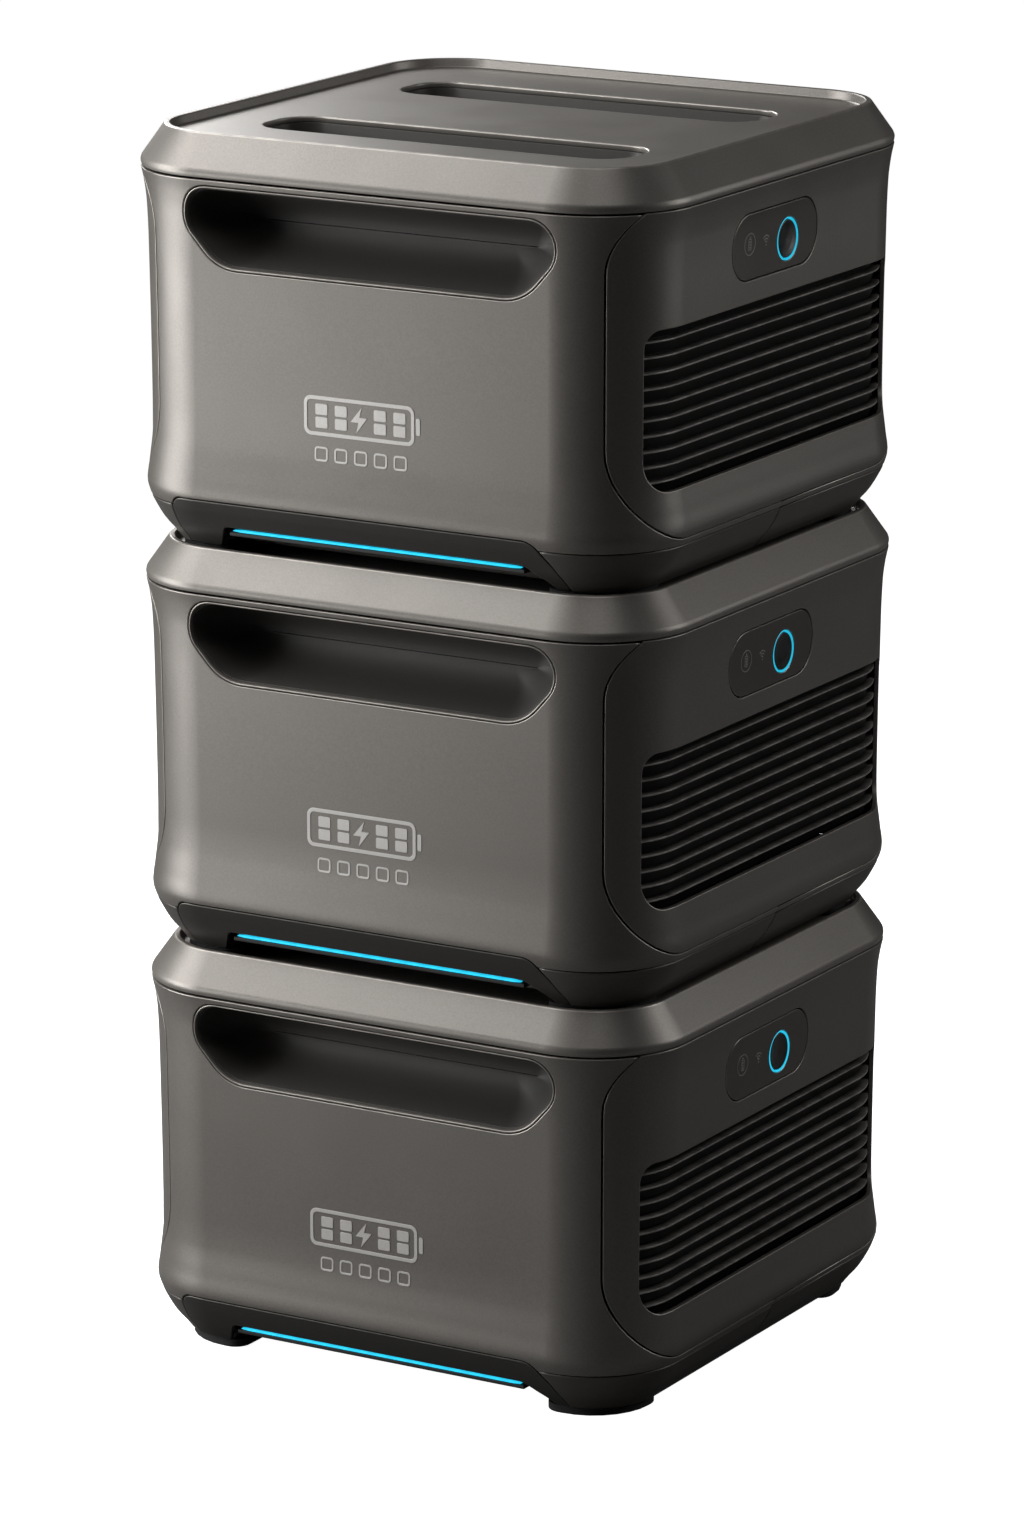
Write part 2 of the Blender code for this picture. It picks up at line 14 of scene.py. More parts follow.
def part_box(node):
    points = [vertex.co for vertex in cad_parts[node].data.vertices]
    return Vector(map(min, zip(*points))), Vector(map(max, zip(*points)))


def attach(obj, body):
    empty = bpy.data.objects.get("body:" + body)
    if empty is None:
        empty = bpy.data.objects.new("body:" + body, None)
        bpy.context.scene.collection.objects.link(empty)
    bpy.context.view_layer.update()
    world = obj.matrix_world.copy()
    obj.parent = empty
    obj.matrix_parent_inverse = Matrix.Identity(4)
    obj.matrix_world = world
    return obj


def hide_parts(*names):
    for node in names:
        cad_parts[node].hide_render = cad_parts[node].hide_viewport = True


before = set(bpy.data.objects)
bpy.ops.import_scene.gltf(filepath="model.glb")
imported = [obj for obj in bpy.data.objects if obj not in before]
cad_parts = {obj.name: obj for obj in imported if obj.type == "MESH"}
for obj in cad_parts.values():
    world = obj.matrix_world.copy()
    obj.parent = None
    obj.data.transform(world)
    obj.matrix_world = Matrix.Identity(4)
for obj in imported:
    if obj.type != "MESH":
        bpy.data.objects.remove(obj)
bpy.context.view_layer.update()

# ---- sizes

SCENE = bpy.context.scene
TAGS = ["module_1", "module_2", "module_3"]
BASES = [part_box(f"{tag}_base_tray")[0].z for tag in TAGS]
LID_LOW, LID_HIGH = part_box("module_1_lid")
WIDTH = LID_HIGH.x - LID_LOW.x
DEPTH = LID_HIGH.y - LID_LOW.y
CORNER = 0.068           # plan radius at the widest ring
CREASE_Z = 0.034
SEAM_Z = 0.248
DECK_Z = 0.269
GAP = 0.0003             # how far a wall piece stays inside its outline
GROOVE = 0.0005          # how far the wall round a cover, trim or fascia stays outside it
WALL = 0.003
WALL_EDGE = 0.0007       # radius of the rolled edges of shell and covers
CORNER_STEPS = 16
ARC_STEPS = 7
EDGE_STEPS = 3

# The wall's profile upwards, as (height, inset from the widest ring).
WALL_PROFILE = [
    (0.000, 0.0275), (0.005, 0.0245), (0.011, 0.0200), (0.0185, 0.0135), (0.026, 0.0089),
    (CREASE_Z, 0.0050), (0.043, 0.0026), (0.056, 0.0042), (0.080, 0.0066), (0.200, 0.0054),
    (0.2245, 0.0045), (0.2385, 0.0028), (SEAM_Z, 0.0008),
]

HANDLE_TOP, HANDLE_BOTTOM = 0.2435, 0.1895
HANDLE_HALF, HANDLE_FLOOR_HALF = 0.137, 0.112
SHOULDER = 0.51          # how far up the handle's mouth its ends stop sloping

TRIM_LOW, TRIM_TOP = 0.006, 0.0395
TRIM_LEFT, TRIM_RIGHT_TOP, TRIM_RIGHT_FOOT = -0.151, 0.119, 0.141
ARCH_Z = 0.0220
ARCH_LEFT, ARCH_LEFT_FOOT = -0.112, -0.122
ARCH_RIGHT, ARCH_RIGHT_FOOT = 0.110, 0.128
RECESS_Y = -0.150
FOOT_INSET = 0.0262

COVER_HALF, COVER_BOTTOM = 0.1840, 0.0385
VENT_HALF, VENT_LOW, VENT_HIGH = 0.1640, 0.070, 0.173
SLATS = 11
PANEL_LOW_Y, PANEL_HIGH_Y = -0.067, 0.046
PANEL_LOW_Z, PANEL_HIGH_Z = 0.188, 0.231
BUTTON_Y, BUTTON_Z = 0.007, 0.2070

SLOT_Y, SLOT_HALF_X, SLOT_HALF_Y, SLOT_CORNER = 0.085, 0.135, 0.028, 0.022
SLOT_FLOOR = 0.2475

PORT_HALF_X, PORT_LOW, PORT_HIGH = 0.065, 0.074, 0.126
SOCKET_X, SOCKET_HALF_X, SOCKET_HALF_Z = 0.032, 0.017, 0.010

# ---- flat outlines


def rounded(corners, radii, steps=ARC_STEPS):
    """A polygon's points with each corner rounded; the corners run anticlockwise."""
    points = []
    count = len(corners)
    for index, radius in enumerate(radii):
        here = Vector(corners[index])
        to_last = (Vector(corners[index - 1]) - here).normalized()
        to_next = (Vector(corners[(index + 1) % count]) - here).normalized()
        if radius <= 0:
            points.append(here)
            continue
        half = to_last.angle(to_next) / 2
        centre = here + (to_last + to_next).normalized() * (radius / math.sin(half))
        start = here + to_last * (radius / math.tan(half)) - centre
        finish = here + to_next * (radius / math.tan(half)) - centre
        sweep = start.angle_signed(finish)
        for step in range(steps + 1):
            angle = -sweep * step / steps
            across = start.x * math.cos(angle) - start.y * math.sin(angle)
            up = start.x * math.sin(angle) + start.y * math.cos(angle)
            points.append(centre + Vector((across, up)))
    return points


def fillet_path(corners, radii, steps=5):
    """An open path with its inner corners rounded; the first and last radius are not used."""
    path = [Vector(corners[0])]
    for index in range(1, len(corners) - 1):
        trio = [corners[index - 1], corners[index], corners[index + 1]]
        path += rounded(trio, [0.0, radii[index], 0.0], steps)[1:-1]
    path.append(Vector(corners[-1]))
    return path


def rectangle(low_u, low_v, high_u, high_v, radii, steps=ARC_STEPS):
    """A rectangle with one radius, or with one for each corner from the lower left."""
    corners = [(low_u, low_v), (high_u, low_v), (high_u, high_v), (low_u, high_v)]
    return rounded(corners, radii if isinstance(radii, list) else [radii] * 4, steps)


def block(u, v, half_u, half_v, radius, steps=ARC_STEPS):
    """A rectangle round its middle."""
    return rectangle(u - half_u, v - half_v, u + half_u, v + half_v, radius, steps)


def circle(u, v, radius, sides=24, lobes=0.0):
    """A circle; a share of lobes makes its radius swell six times on the way round."""
    angles = [2 * math.pi * side / sides for side in range(sides)]
    reaches = [radius * (1 + lobes * math.cos(6 * angle)) for angle in angles]
    return [Vector((u + r * math.cos(a), v + r * math.sin(a))) for a, r in zip(angles, reaches)]


def clipped(points, top):
    """The part of an outline that lies at or below a height."""
    kept = []
    for last, here in zip([points[-1], *points[:-1]], points):
        if (last.y <= top) != (here.y <= top):
            share = (top - last.y) / (here.y - last.y)
            kept.append(Vector((last.x + (here.x - last.x) * share, top)))
        if here.y <= top:
            kept.append(here)
    return kept


def handle_outline(inset, lean=0.0):
    """The handle's mouth, as (x, z), drawn in by an inset, and by a lean at its two ends."""
    side = HANDLE_HALF - inset - lean
    floor = HANDLE_FLOOR_HALF - inset * 0.7 - lean
    top, bottom = HANDLE_TOP - inset, HANDLE_BOTTOM + inset
    shoulder = bottom + (top - bottom) * SHOULDER
    corners = [(-floor, bottom), (floor, bottom), (side, shoulder)]
    corners += [(side, top), (-side, top), (-side, shoulder)]
    share = (top - bottom) / (HANDLE_TOP - HANDLE_BOTTOM)
    upper, middle, lower = 0.0185 * share, 0.0195 * share, 0.034 * share
    return rounded(corners, [lower, lower, middle, upper, upper, middle])


def trim_outline(inset, arch):
    """The front trim, as (x, z): straight left end, sweeping right end, arch below."""
    low, top = TRIM_LOW + inset, TRIM_TOP - inset
    corners = [
        (TRIM_LEFT - 0.006 + inset, low), (TRIM_RIGHT_FOOT - inset, low),
        (TRIM_RIGHT_FOOT - 0.010 - inset, 0.0235), (TRIM_RIGHT_TOP - inset, top), (TRIM_LEFT + inset, top),
    ]
    radii = [0.0, 0.0, 0.020, 0.014, 0.012]
    if arch:
        corners[1:1] = [
            (ARCH_LEFT_FOOT, low), (ARCH_LEFT, ARCH_Z), (ARCH_RIGHT, ARCH_Z), (ARCH_RIGHT_FOOT, low),
        ]
        radii[1:1] = [0.003, 0.005, 0.010, 0.006]
    return rounded(corners, radii)


def cover_outline(inset):
    """A side cover, as (y, z). It runs past the seam, where it is clipped."""
    side = COVER_HALF - inset
    radii = [0.060, 0.060, 0.048, 0.048]
    return rectangle(-side, COVER_BOTTOM + inset, side, SEAM_Z + 0.010, radii, 14)


def vent_outline():
    return rectangle(-VENT_HALF, VENT_LOW, VENT_HALF, VENT_HIGH, [0.020, 0.020, 0.012, 0.012])


def panel_outline(inset):
    radius = (PANEL_HIGH_Z - PANEL_LOW_Z) / 2 - 0.0004 - inset
    low_y, high_y = PANEL_LOW_Y + inset, PANEL_HIGH_Y - inset
    return rectangle(low_y, PANEL_LOW_Z + inset, high_y, PANEL_HIGH_Z - inset, radius, 10)


def slot_outline(centre, inset):
    return block(0.0, centre, SLOT_HALF_X - inset, SLOT_HALF_Y - inset, SLOT_CORNER - inset)


def port_outline(inset):
    half = PORT_HALF_X - inset
    return rectangle(-half, PORT_LOW + inset, half, PORT_HIGH - inset, 0.010 - inset)


# ---- the module's wall

FLAT_X = WIDTH / 2 - CORNER
FLAT_Y = DEPTH / 2 - CORNER
QUARTER = CORNER * math.pi / 2
SIDE_AT = FLAT_X + QUARTER + FLAT_Y      # along, from the front's middle to a side's middle
ROUND = 4 * SIDE_AT

# Each face: its middle along the wall, half of its flat part, and which way its view runs.
FRONT, RIGHT = (0.0, FLAT_X, 1), (SIDE_AT, FLAT_Y, 1)
REAR, LEFT = (2 * SIDE_AT, FLAT_X, 1), (3 * SIDE_AT, FLAT_Y, -1)


def around(along, inset):
    """(x, y) on the module's plan, at an inset from the widest ring."""
    along %= ROUND
    side, end = 1, -1
    if along > ROUND / 2:
        along, side = ROUND - along, -1
    if along > SIDE_AT:
        along, end = 2 * SIDE_AT - along, 1
    turn = min(max(0.0, along - FLAT_X), QUARTER) / CORNER
    x = min(along, FLAT_X) + (CORNER - inset) * math.sin(turn)
    y = FLAT_Y + (CORNER - inset) * math.cos(turn) - max(0.0, along - FLAT_X - QUARTER)
    return side * x, end * y


def unroll(value, flat):
    """How far along the wall a straight view's coordinate lies, from its face's middle."""
    over = abs(value) - flat
    if over <= 0:
        return value
    return math.copysign(flat + CORNER * math.asin(min(1.0, over / CORNER)), value)


def on(face, points):
    """A straight view's outline, unrolled along the wall from the middle of its face."""
    middle, flat, way = face
    return [Vector((middle + way * unroll(point[0], flat), point[1])) for point in points[::way]]


def smooth_curve(points):
    """A function through (height, value) points that never swings past them."""
    spans = [(b[1] - a[1]) / (b[0] - a[0]) for a, b in zip(points, points[1:])]
    slopes = [spans[0]]
    for last, following in zip(spans, spans[1:]):
        slopes.append(2 * last * following / (last + following) if last * following > 0 else 0.0)
    slopes.append(spans[-1])

    def value_at(height):
        height = min(max(height, points[0][0]), points[-1][0])
        index = 0
        while height > points[index + 1][0]:
            index += 1
        low, high = points[index], points[index + 1]
        width = high[0] - low[0]
        t = (height - low[0]) / width
        start = (2 * t**3 - 3 * t**2 + 1) * low[1] + (t**3 - 2 * t**2 + t) * width * slopes[index]
        return start + (3 * t**2 - 2 * t**3) * high[1] + (t**3 - t**2) * width * slopes[index + 1]

    return value_at


wall_inset = smooth_curve(WALL_PROFILE)


def spot(along, height, inset):
    """A point of the module, at an inset from the widest ring."""
    return Vector((*around(along, inset), height))


def wall(along, height, depth=0.0):
    """A point on the module's outer wall, or at a depth behind it."""
    return spot(along, height, wall_inset(height) + depth)


def upright(inset):
    """A surface that stands straight up at an inset from the widest ring."""
    return lambda along, height, depth=0.0: spot(along, height, inset + depth)


def underside(height):
    """A level surface seen from below, where v runs towards the front."""
    return lambda u, v, depth=0.0: Vector((u, -v, height + depth))


def behind(surface, by):
    """A surface moved back by a distance, or forward by a negative one."""
    return lambda u, v, depth=0.0: surface(u, v, depth + by)


def corner_stations(first, last):
    """Where a wall piece is split round the upright corners, between two places along."""
    stations = []
    for corner in range(-4, 8):
        start = (corner // 2) * 2 * SIDE_AT + (FLAT_X if corner % 2 == 0 else SIDE_AT + FLAT_Y)
        stations += [start + QUARTER * step / CORNER_STEPS for step in range(CORNER_STEPS + 1)]
    return [station for station in stations if first < station < last]


STATIONS = corner_stations(-ROUND, ROUND)
RING_STATIONS = [0.0, *corner_stations(0.0, ROUND)]
WALL_LEVELS = [0.0055 + 0.0035 * step for step in range(21)]
WALL_LEVELS += [0.095 + 0.021 * step for step in range(5)]
WALL_LEVELS += [0.196 + 0.004 * step for step in range(13)]

# ---- mesh building


class Skin:
    """A mesh in the making: shared points, faces, each face corner's normal, and a mask of edge wear and
    painted highlight.
    """

    def __init__(self):
        self.points = []
        self.wear_and_highlight = []
        self.known = {}
        self.faces = []
        self.normals = []

    def point(self, where, wear_and_highlight=0.0):
        key = tuple(round(value * 1e6) for value in where)
        if key not in self.known:
            self.known[key] = len(self.points)
            self.points.append(Vector(where))
            self.wear_and_highlight.append(0.0)
        index = self.known[key]
        self.wear_and_highlight[index] = max(self.wear_and_highlight[index], wear_and_highlight)
        return index

    def face(self, corners, normals):
        pairs = [pair for at, pair in enumerate(zip(corners, normals)) if pair[0] != corners[at - 1]]
        if len(pairs) > 2:
            self.faces.append([pair[0] for pair in pairs])
            self.normals.append([pair[1] for pair in pairs])

    def mesh(self, name):
        made = bpy.data.meshes.new(name)
        made.from_pydata(self.points, [], self.faces)
        made.attributes.new("wear_and_highlight", "FLOAT", "POINT").data.foreach_set("value", self.wear_and_highlight)
        made.shade_smooth()
        made.normals_split_custom_set([normal for corners in self.normals for normal in corners])
        return made


def offset(points, distance):
    """A closed anticlockwise outline, grown by a distance, or shrunk by a negative one."""
    grown = []
    for index, here in enumerate(points):
        before = (here - points[index - 1]).normalized()
        after = (points[(index + 1) % len(points)] - here).normalized()
        grown.append(here + miter(before, after) * distance)
    return grown


def miter(before, after):
    """The outward direction at a corner, long enough to keep both edges parallel."""
    out = Vector((before.y + after.y, -before.x - after.x))
    return out / max(0.3, 1 + before.dot(after))


def inside(point, outline):
    """Whether a point lies in an outline."""
    within = False
    last = outline[-1]
    for here in outline:
        if (here.y > point.y) != (last.y > point.y):
            crossing = here.x + (last.x - here.x) * (point.y - here.y) / (last.y - here.y)
            if point.x < crossing:
                within = not within
        last = here
    return within


def flat_region(outline, holes, lines_u=(), lines_v=()):
    """Triangles of an outline less its holes, split along the given lines: (points, triangles)."""
    points, edges = [], []
    for loop in [outline, *holes]:
        first = len(points)
        points += loop
        edges += [(first + at, first + (at + 1) % len(loop)) for at in range(len(loop))]
    low_u, high_u = min(p.x for p in outline), max(p.x for p in outline)
    low_v, high_v = min(p.y for p in outline), max(p.y for p in outline)
    beyond = 0.002
    lines = [((u, low_v - beyond), (u, high_v + beyond)) for u in lines_u if low_u < u < high_u]
    lines += [((low_u - beyond, v), (high_u + beyond, v)) for v in lines_v if low_v < v < high_v]
    for start, finish in lines:
        edges.append((len(points), len(points) + 1))
        points += [Vector(start), Vector(finish)]
    flat, _, found, *_ = geometry.delaunay_2d_cdt(points, edges, [], 0, 1e-7)
    kept = []
    for triangle in found:
        a, b, c = (flat[corner] for corner in triangle)
        middle = (a + b + c) / 3
        if inside(middle, outline) and not any(inside(middle, hole) for hole in holes):
            kept.append(triangle if (b - a).cross(c - a) > 0 else triangle[::-1])
    return flat, kept


def rim_of(flat, triangles):
    """The next point round each edge of a region, and the outward direction at each point there."""
    sides = {(t[at - 1], t[at]) for t in triangles for at in range(3)}
    following = {a: b for a, b in sides if (b, a) not in sides}
    before = {b: a for a, b in following.items()}
    outward = {}
    for here, after in following.items():
        arriving = (flat[here] - flat[before[here]]).normalized()
        outward[here] = miter(arriving, (flat[after] - flat[here]).normalized())
    return following, outward


def facing(surface, u, v):
    """The unit directions along u, along v, and out of a surface."""
    step = 2e-4
    along_u = (surface(u + step, v) - surface(u - step, v)).normalized()
    along_v = (surface(u, v + step) - surface(u, v - step)).normalized()
    return along_u, along_v, along_u.cross(along_v).normalized()


def plate(skin, outline, holes, surface, thickness, edge, lines_u=(), lines_v=(), wear_and_highlight=1.0):
    """Adds a closed wall with rolled outer edges: an outline with holes, laid on a surface."""
    shrunk = offset(outline, -edge)
    flat, triangles = flat_region(shrunk, [offset(hole, edge) for hole in holes], lines_u, lines_v)
    following, outward = rim_of(flat, triangles)
    front, back, normals, rolls = {}, {}, {}, {}
    for index in {corner for triangle in triangles for corner in triangle}:
        u, v = flat[index]
        along_u, along_v, normal = facing(surface, u, v)
        normals[index] = normal
        front[index] = skin.point(surface(u, v, 0.0))
        if index not in outward:
            back[index] = skin.point(surface(u, v, thickness))
            continue
        out = outward[index]
        across = (along_u * out.x + along_v * out.y).normalized()
        levels = [(front[index], normal)]
        for step in range(1, EDGE_STEPS + 1):
            angle = math.pi / 2 * step / EDGE_STEPS
            reach = out * (edge * math.sin(angle))
            where = surface(u + reach.x, v + reach.y, edge * (1 - math.cos(angle)))
            # Rolled edge points take the edge mask: wear and painted highlight.
            worn_and_lit = wear_and_highlight if step < EDGE_STEPS else wear_and_highlight * 0.5
            levels.append((skin.point(where, worn_and_lit), normal * math.cos(angle) + across * math.sin(angle)))
        back[index] = skin.point(surface(u + out.x * edge, v + out.y * edge, thickness))
        rolls[index] = [*levels, (back[index], across)]
    for triangle in triangles:
        skin.face([front[corner] for corner in triangle], [normals[corner] for corner in triangle])
        rear = triangle[::-1]
        skin.face([back[corner] for corner in rear], [-normals[corner] for corner in rear])
    for here, after in following.items():
        one, other = rolls[here], rolls[after]
        for level in range(EDGE_STEPS + 1):
            skin.face(*zip(other[level], one[level], one[level + 1], other[level + 1]))


def wall_piece(skin, outline, holes, thickness=WALL, edge=WALL_EDGE, wear_and_highlight=1.0):
    """Adds a plate that lies on the module's wall and follows its corners and its profile."""
    plate(skin, outline, holes, wall, thickness, edge, STATIONS, WALL_LEVELS, wear_and_highlight)


def grid(skin, rows, wear_and_highlight=None, caps="", loop_rows=False):
    """Joins closed rows of points; caps says which ends are closed: first, last or both.

    A point's normal comes from its neighbours in its own row and in the rows beside it.
    """
    count, total = len(rows[0]), len(rows)
    worn_and_lit = wear_and_highlight or [0.0] * total
    normals = []
    for at, row in enumerate(rows):
        below = rows[at - 1] if at > 0 or loop_rows else row
        above = rows[(at + 1) % total] if at < total - 1 or loop_rows else row
        across = [row[(column + 1) % count] - row[column - 1] for column in range(count)]
        normals.append([a.cross(high - low).normalized() for a, high, low in zip(across, above, below)])
    indices = [[skin.point(point, worn_and_lit[at]) for point in row] for at, row in enumerate(rows)]
    for at in range(total if loop_rows else total - 1):
        after = (at + 1) % total
        for column in range(count):
            side = (column + 1) % count
            ring = [(at, column), (at, side), (after, side), (after, column)]
            skin.face([indices[r][c] for r, c in ring], [normals[r][c] for r, c in ring])
    if caps in ("first", "both"):
        skin.face(indices[0][::-1], [-flat_normal(rows[0])] * count)
    if caps in ("last", "both"):
        skin.face(indices[-1], [flat_normal(rows[-1])] * count)


def flat_normal(row):
    return geometry.normal([tuple(point) for point in row])


def turned(skin, profile, centre, axis, sides, hollow=False):
    """A turned piece, from (radius, forward) points: a closed section if it is hollow.

    Otherwise they run from the back's middle, round the rim, to the front's middle. The axis is a
    pair of unit vectors across it; forward is their cross product.
    """
    across, up = axis
    forward = across.cross(up)
    angles = [2 * math.pi * side / sides for side in range(sides)]
    spokes = [across * math.cos(angle) + up * math.sin(angle) for angle in angles]
    rows = [[centre + out * radius + forward * ahead for out in spokes] for radius, ahead in profile]
    grid(skin, rows, caps="" if hollow else "both", loop_rows=hollow)


TOWARD_RIGHT = (Vector((0, 1, 0)), Vector((0, 0, 1)))
TOWARD_REAR = (Vector((-1, 0, 0)), Vector((0, 0, 1)))

# ---- materials


class Nodes:
    """A material's node tree, with short ways to add nodes and fill their sockets."""

    def __init__(self, name):
        self.made = bpy.data.materials.new(name)
        self.made.use_nodes = True
        self.tree = self.made.node_tree
        self.shader = self.tree.nodes["Principled BSDF"]
        place = self.add("ShaderNodeTexCoord").outputs["Object"]
        spread = self.add("ShaderNodeObjectInfo").outputs["Random"]
        shift = {0: spread, 1: (3.1, 1.7, 2.3), 2: place}
        self.place = self.add("ShaderNodeVectorMath", shift, operation="MULTIPLY_ADD").outputs[0]

    def put(self, socket, value):
        """Gives a socket an output, a colour, a vector or a number."""
        if isinstance(value, bpy.types.NodeSocket):
            self.tree.links.new(value, socket)
        else:
            socket.default_value = (*value, 1.0) if socket.type == "RGBA" else value

    def add(self, kind, inputs=None, **settings):
        node = self.tree.nodes.new(kind)
        for key, value in settings.items():
            setattr(node, key, value)
        for key, value in (inputs or {}).items():
            self.put(node.inputs[key], value)
        return node

    def feed(self, **values):
        """Fills the shader's sockets, named with _ for a space."""
        for name, value in values.items():
            self.put(self.shader.inputs[name.replace("_", " ")], value)

    def noise(self, scale, detail=2.0, stretch=None):
        where = self.place
        if stretch:
            given = {0: where, 1: stretch}
            where = self.add("ShaderNodeVectorMath", given, operation="MULTIPLY").outputs[0]
        node = self.add("ShaderNodeTexNoise", {"Scale": scale, "Detail": detail, "Vector": where})
        return node.outputs["Fac"]

    def remap(self, value, to_low=0.0, to_high=1.0, low=0.3, high=0.7):
        """Spreads a range, noise's usual one unless given, over another."""
        given = dict(enumerate((value, low, high, to_low, to_high)))
        return self.add("ShaderNodeMapRange", given).outputs[0]

    def math(self, operation, first, second):
        return self.add("ShaderNodeMath", {0: first, 1: second}, operation=operation).outputs[0]

    def mix(self, factor, first, second):
        given = {"Factor": factor, 6: first, 7: second}
        return self.add("ShaderNodeMix", given, data_type="RGBA").outputs[2]

    def worn_and_lit(self):
        """How worn the surface is, and where painted highlight goes: 1 on rolled edges, broken up by noise,
        and 0 elsewhere.
        """
        edge = self.add("ShaderNodeAttribute", attribute_name="wear_and_highlight").outputs["Fac"]
        return self.math("MULTIPLY", edge, self.remap(self.noise(90.0, 3.0), 0.45, 1.0, high=0.62))

    def bump(self, height, strength, distance):
        given = {"Strength": strength, "Distance": distance, "Height": height}
        self.feed(Normal=self.add("ShaderNodeBump", given).outputs["Normal"])


def scaled(colour, by):
    return tuple(min(1.0, channel * by) for channel in colour)


def moulded(name, colour, roughness, metallic, grain=0.09, edge=1.9, scale=850.0):
    """Satin moulded plastic: fine speckle, broad mottling, handling marks, and rolled edges brightened as
    wear and painted highlight.
    """
    nodes = Nodes(name)
    speckle = nodes.noise(scale, 3.0)
    mottle = nodes.noise(7.0, 4.0)
    fine = nodes.remap(speckle)
    body = nodes.mix(fine, scaled(colour, 1 - grain), scaled(colour, 1 + grain))
    toned = nodes.mix(nodes.remap(mottle, 0.0, 0.10, 0.35, 0.65), body, scaled(colour, 0.78))
    worn_and_lit = nodes.worn_and_lit()
    smudge = nodes.remap(nodes.noise(22.0, 5.0), roughness - 0.01, roughness + 0.03, 0.35)
    rubbed = nodes.math("MULTIPLY", worn_and_lit, 0.10)
    nodes.feed(Base_Color=nodes.mix(worn_and_lit, toned, scaled(colour, edge)), Metallic=metallic,
               Roughness=nodes.math("SUBTRACT", smudge, rubbed))
    nodes.bump(speckle, 0.20, 0.00012)
    return nodes.made


def rubber(name, colour):
    """Matt rubber: a coarse pebbled grain with dust on its edges."""
    nodes = Nodes(name)
    pebbles = nodes.add("ShaderNodeTexVoronoi", {"Scale": 700.0, "Vector": nodes.place})
    dusty = nodes.math("MULTIPLY", nodes.worn_and_lit(), 0.6)
    nodes.feed(Base_Color=nodes.mix(dusty, colour, scaled(colour, 3.0)),
               Roughness=nodes.remap(nodes.noise(60.0, 4.0), 0.68, 0.88))
    nodes.bump(pebbles.outputs["Distance"], 0.35, 0.0002)
    return nodes.made


def glowing(name, colour, strength):
    """A lit light guide: brighter over each lamp behind it, with a faint grain in the plastic."""
    nodes = Nodes(name)
    waves = {"Scale": 22.0, "Distortion": 0.0, "Vector": nodes.place}
    lamps = nodes.add("ShaderNodeTexWave", waves, bands_direction="X")
    even = nodes.remap(lamps.outputs["Fac"], 0.90, 1.05, 0.0, 1.0)
    cloudy = nodes.remap(nodes.noise(500.0), 0.95, 1.05)
    power = nodes.math("MULTIPLY", nodes.math("MULTIPLY", even, cloudy), strength)
    tint = nodes.mix(nodes.remap(nodes.noise(900.0)), scaled(colour, 0.5), colour)
    nodes.feed(Base_Color=tint, Roughness=0.3, Emission_Color=colour, Emission_Strength=power)
    return nodes.made


def glossy(name, colour):
    """Black plastic under a thin clear coat, with faint fingerprints."""
    nodes = Nodes(name)
    prints = nodes.noise(140.0, 6.0)
    shade = nodes.mix(nodes.remap(prints, 0.0, 0.6, 0.4), colour, scaled(colour, 1.8))
    nodes.feed(Base_Color=nodes.mix(nodes.worn_and_lit(), shade, scaled(colour, 5.0)), Coat_Weight=0.12,
               Coat_Roughness=0.15, Roughness=nodes.remap(prints, 0.30, 0.42, 0.35, 0.75))
    return nodes.made


def metal(name, colour, roughness, scratch=(1.0, 1.0, 30.0)):
    """Bare or plated metal, brushed along its short scratches."""
    nodes = Nodes(name)
    lines = nodes.noise(260.0, 4.0, scratch)
    shade = nodes.mix(nodes.remap(lines), scaled(colour, 0.82), scaled(colour, 1.12))
    nodes.feed(Base_Color=nodes.mix(nodes.worn_and_lit(), shade, scaled(colour, 1.5)), Metallic=1.0,
               Roughness=nodes.remap(lines, roughness - 0.08, roughness + 0.10))
    nodes.bump(lines, 0.15, 0.00008)
    return nodes.made


def circuit(name, colour):
    """A solder-masked board: square copper runs under green lacquer."""
    nodes = Nodes(name)
    runs = nodes.add("ShaderNodeTexBrick", {
        "Scale": 95.0, "Mortar Size": 0.06, "Vector": nodes.place,
        "Color1": colour, "Color2": scaled(colour, 0.8), "Mortar": scaled(colour, 2.2),
    })
    haze = nodes.remap(nodes.noise(40.0, 3.0), 0.0, 0.25, 0.35)
    nodes.feed(Base_Color=nodes.mix(haze, runs.outputs["Color"], scaled(colour, 0.5)),
               Roughness=nodes.remap(nodes.noise(80.0), 0.3, 0.45))
    nodes.bump(runs.outputs["Fac"], 0.3, 0.0001)
    return nodes.made


# Each material's edge factor brightens the rolled edges in the edge mask: partly wear, partly painted
# highlight.
TITANIUM = moulded("titanium_shell", (0.185, 0.172, 0.157), 0.40, 0.55)
# Painted light: the lid's titanium is a lighter copy of the shell's, for its upward-facing chamfer.
LID_LIT_GREY = moulded("titanium_lid_painted_light", (0.235, 0.219, 0.200), 0.39, 0.52)
# Painted shade: the handle scoop's colour is darkened for the shade inside the recess.
HANDLE_SHADE_GREY = moulded("handle_scoop_painted_shade", (0.044, 0.041, 0.037), 0.60, 0.08, edge=2.0)
# Painted shade: the slot linings are darkened for the shade inside the slots.
LINER_SHADE_DARK = moulded("slot_lining_painted_shade", (0.050, 0.047, 0.042), 0.46, 0.30, edge=2.0)
COVER_DARK = moulded("side_cover", (0.165, 0.154, 0.140), 0.42, 0.50, edge=2.0)
TRAY_DARK = moulded("base_skirt", (0.095, 0.088, 0.080), 0.44, 0.45, edge=1.6)
TRIM_DARK = moulded("lower_trim", (0.034, 0.032, 0.029), 0.46, 0.30, edge=3.4)
PANEL_DARK = moulded("control_fascia_plastic", (0.105, 0.098, 0.089), 0.34, 0.45, grain=0.06, edge=3.4)
GLYPH_GREY = moulded("panel_glyphs", (0.30, 0.285, 0.26), 0.40, 0.20, grain=0.05)
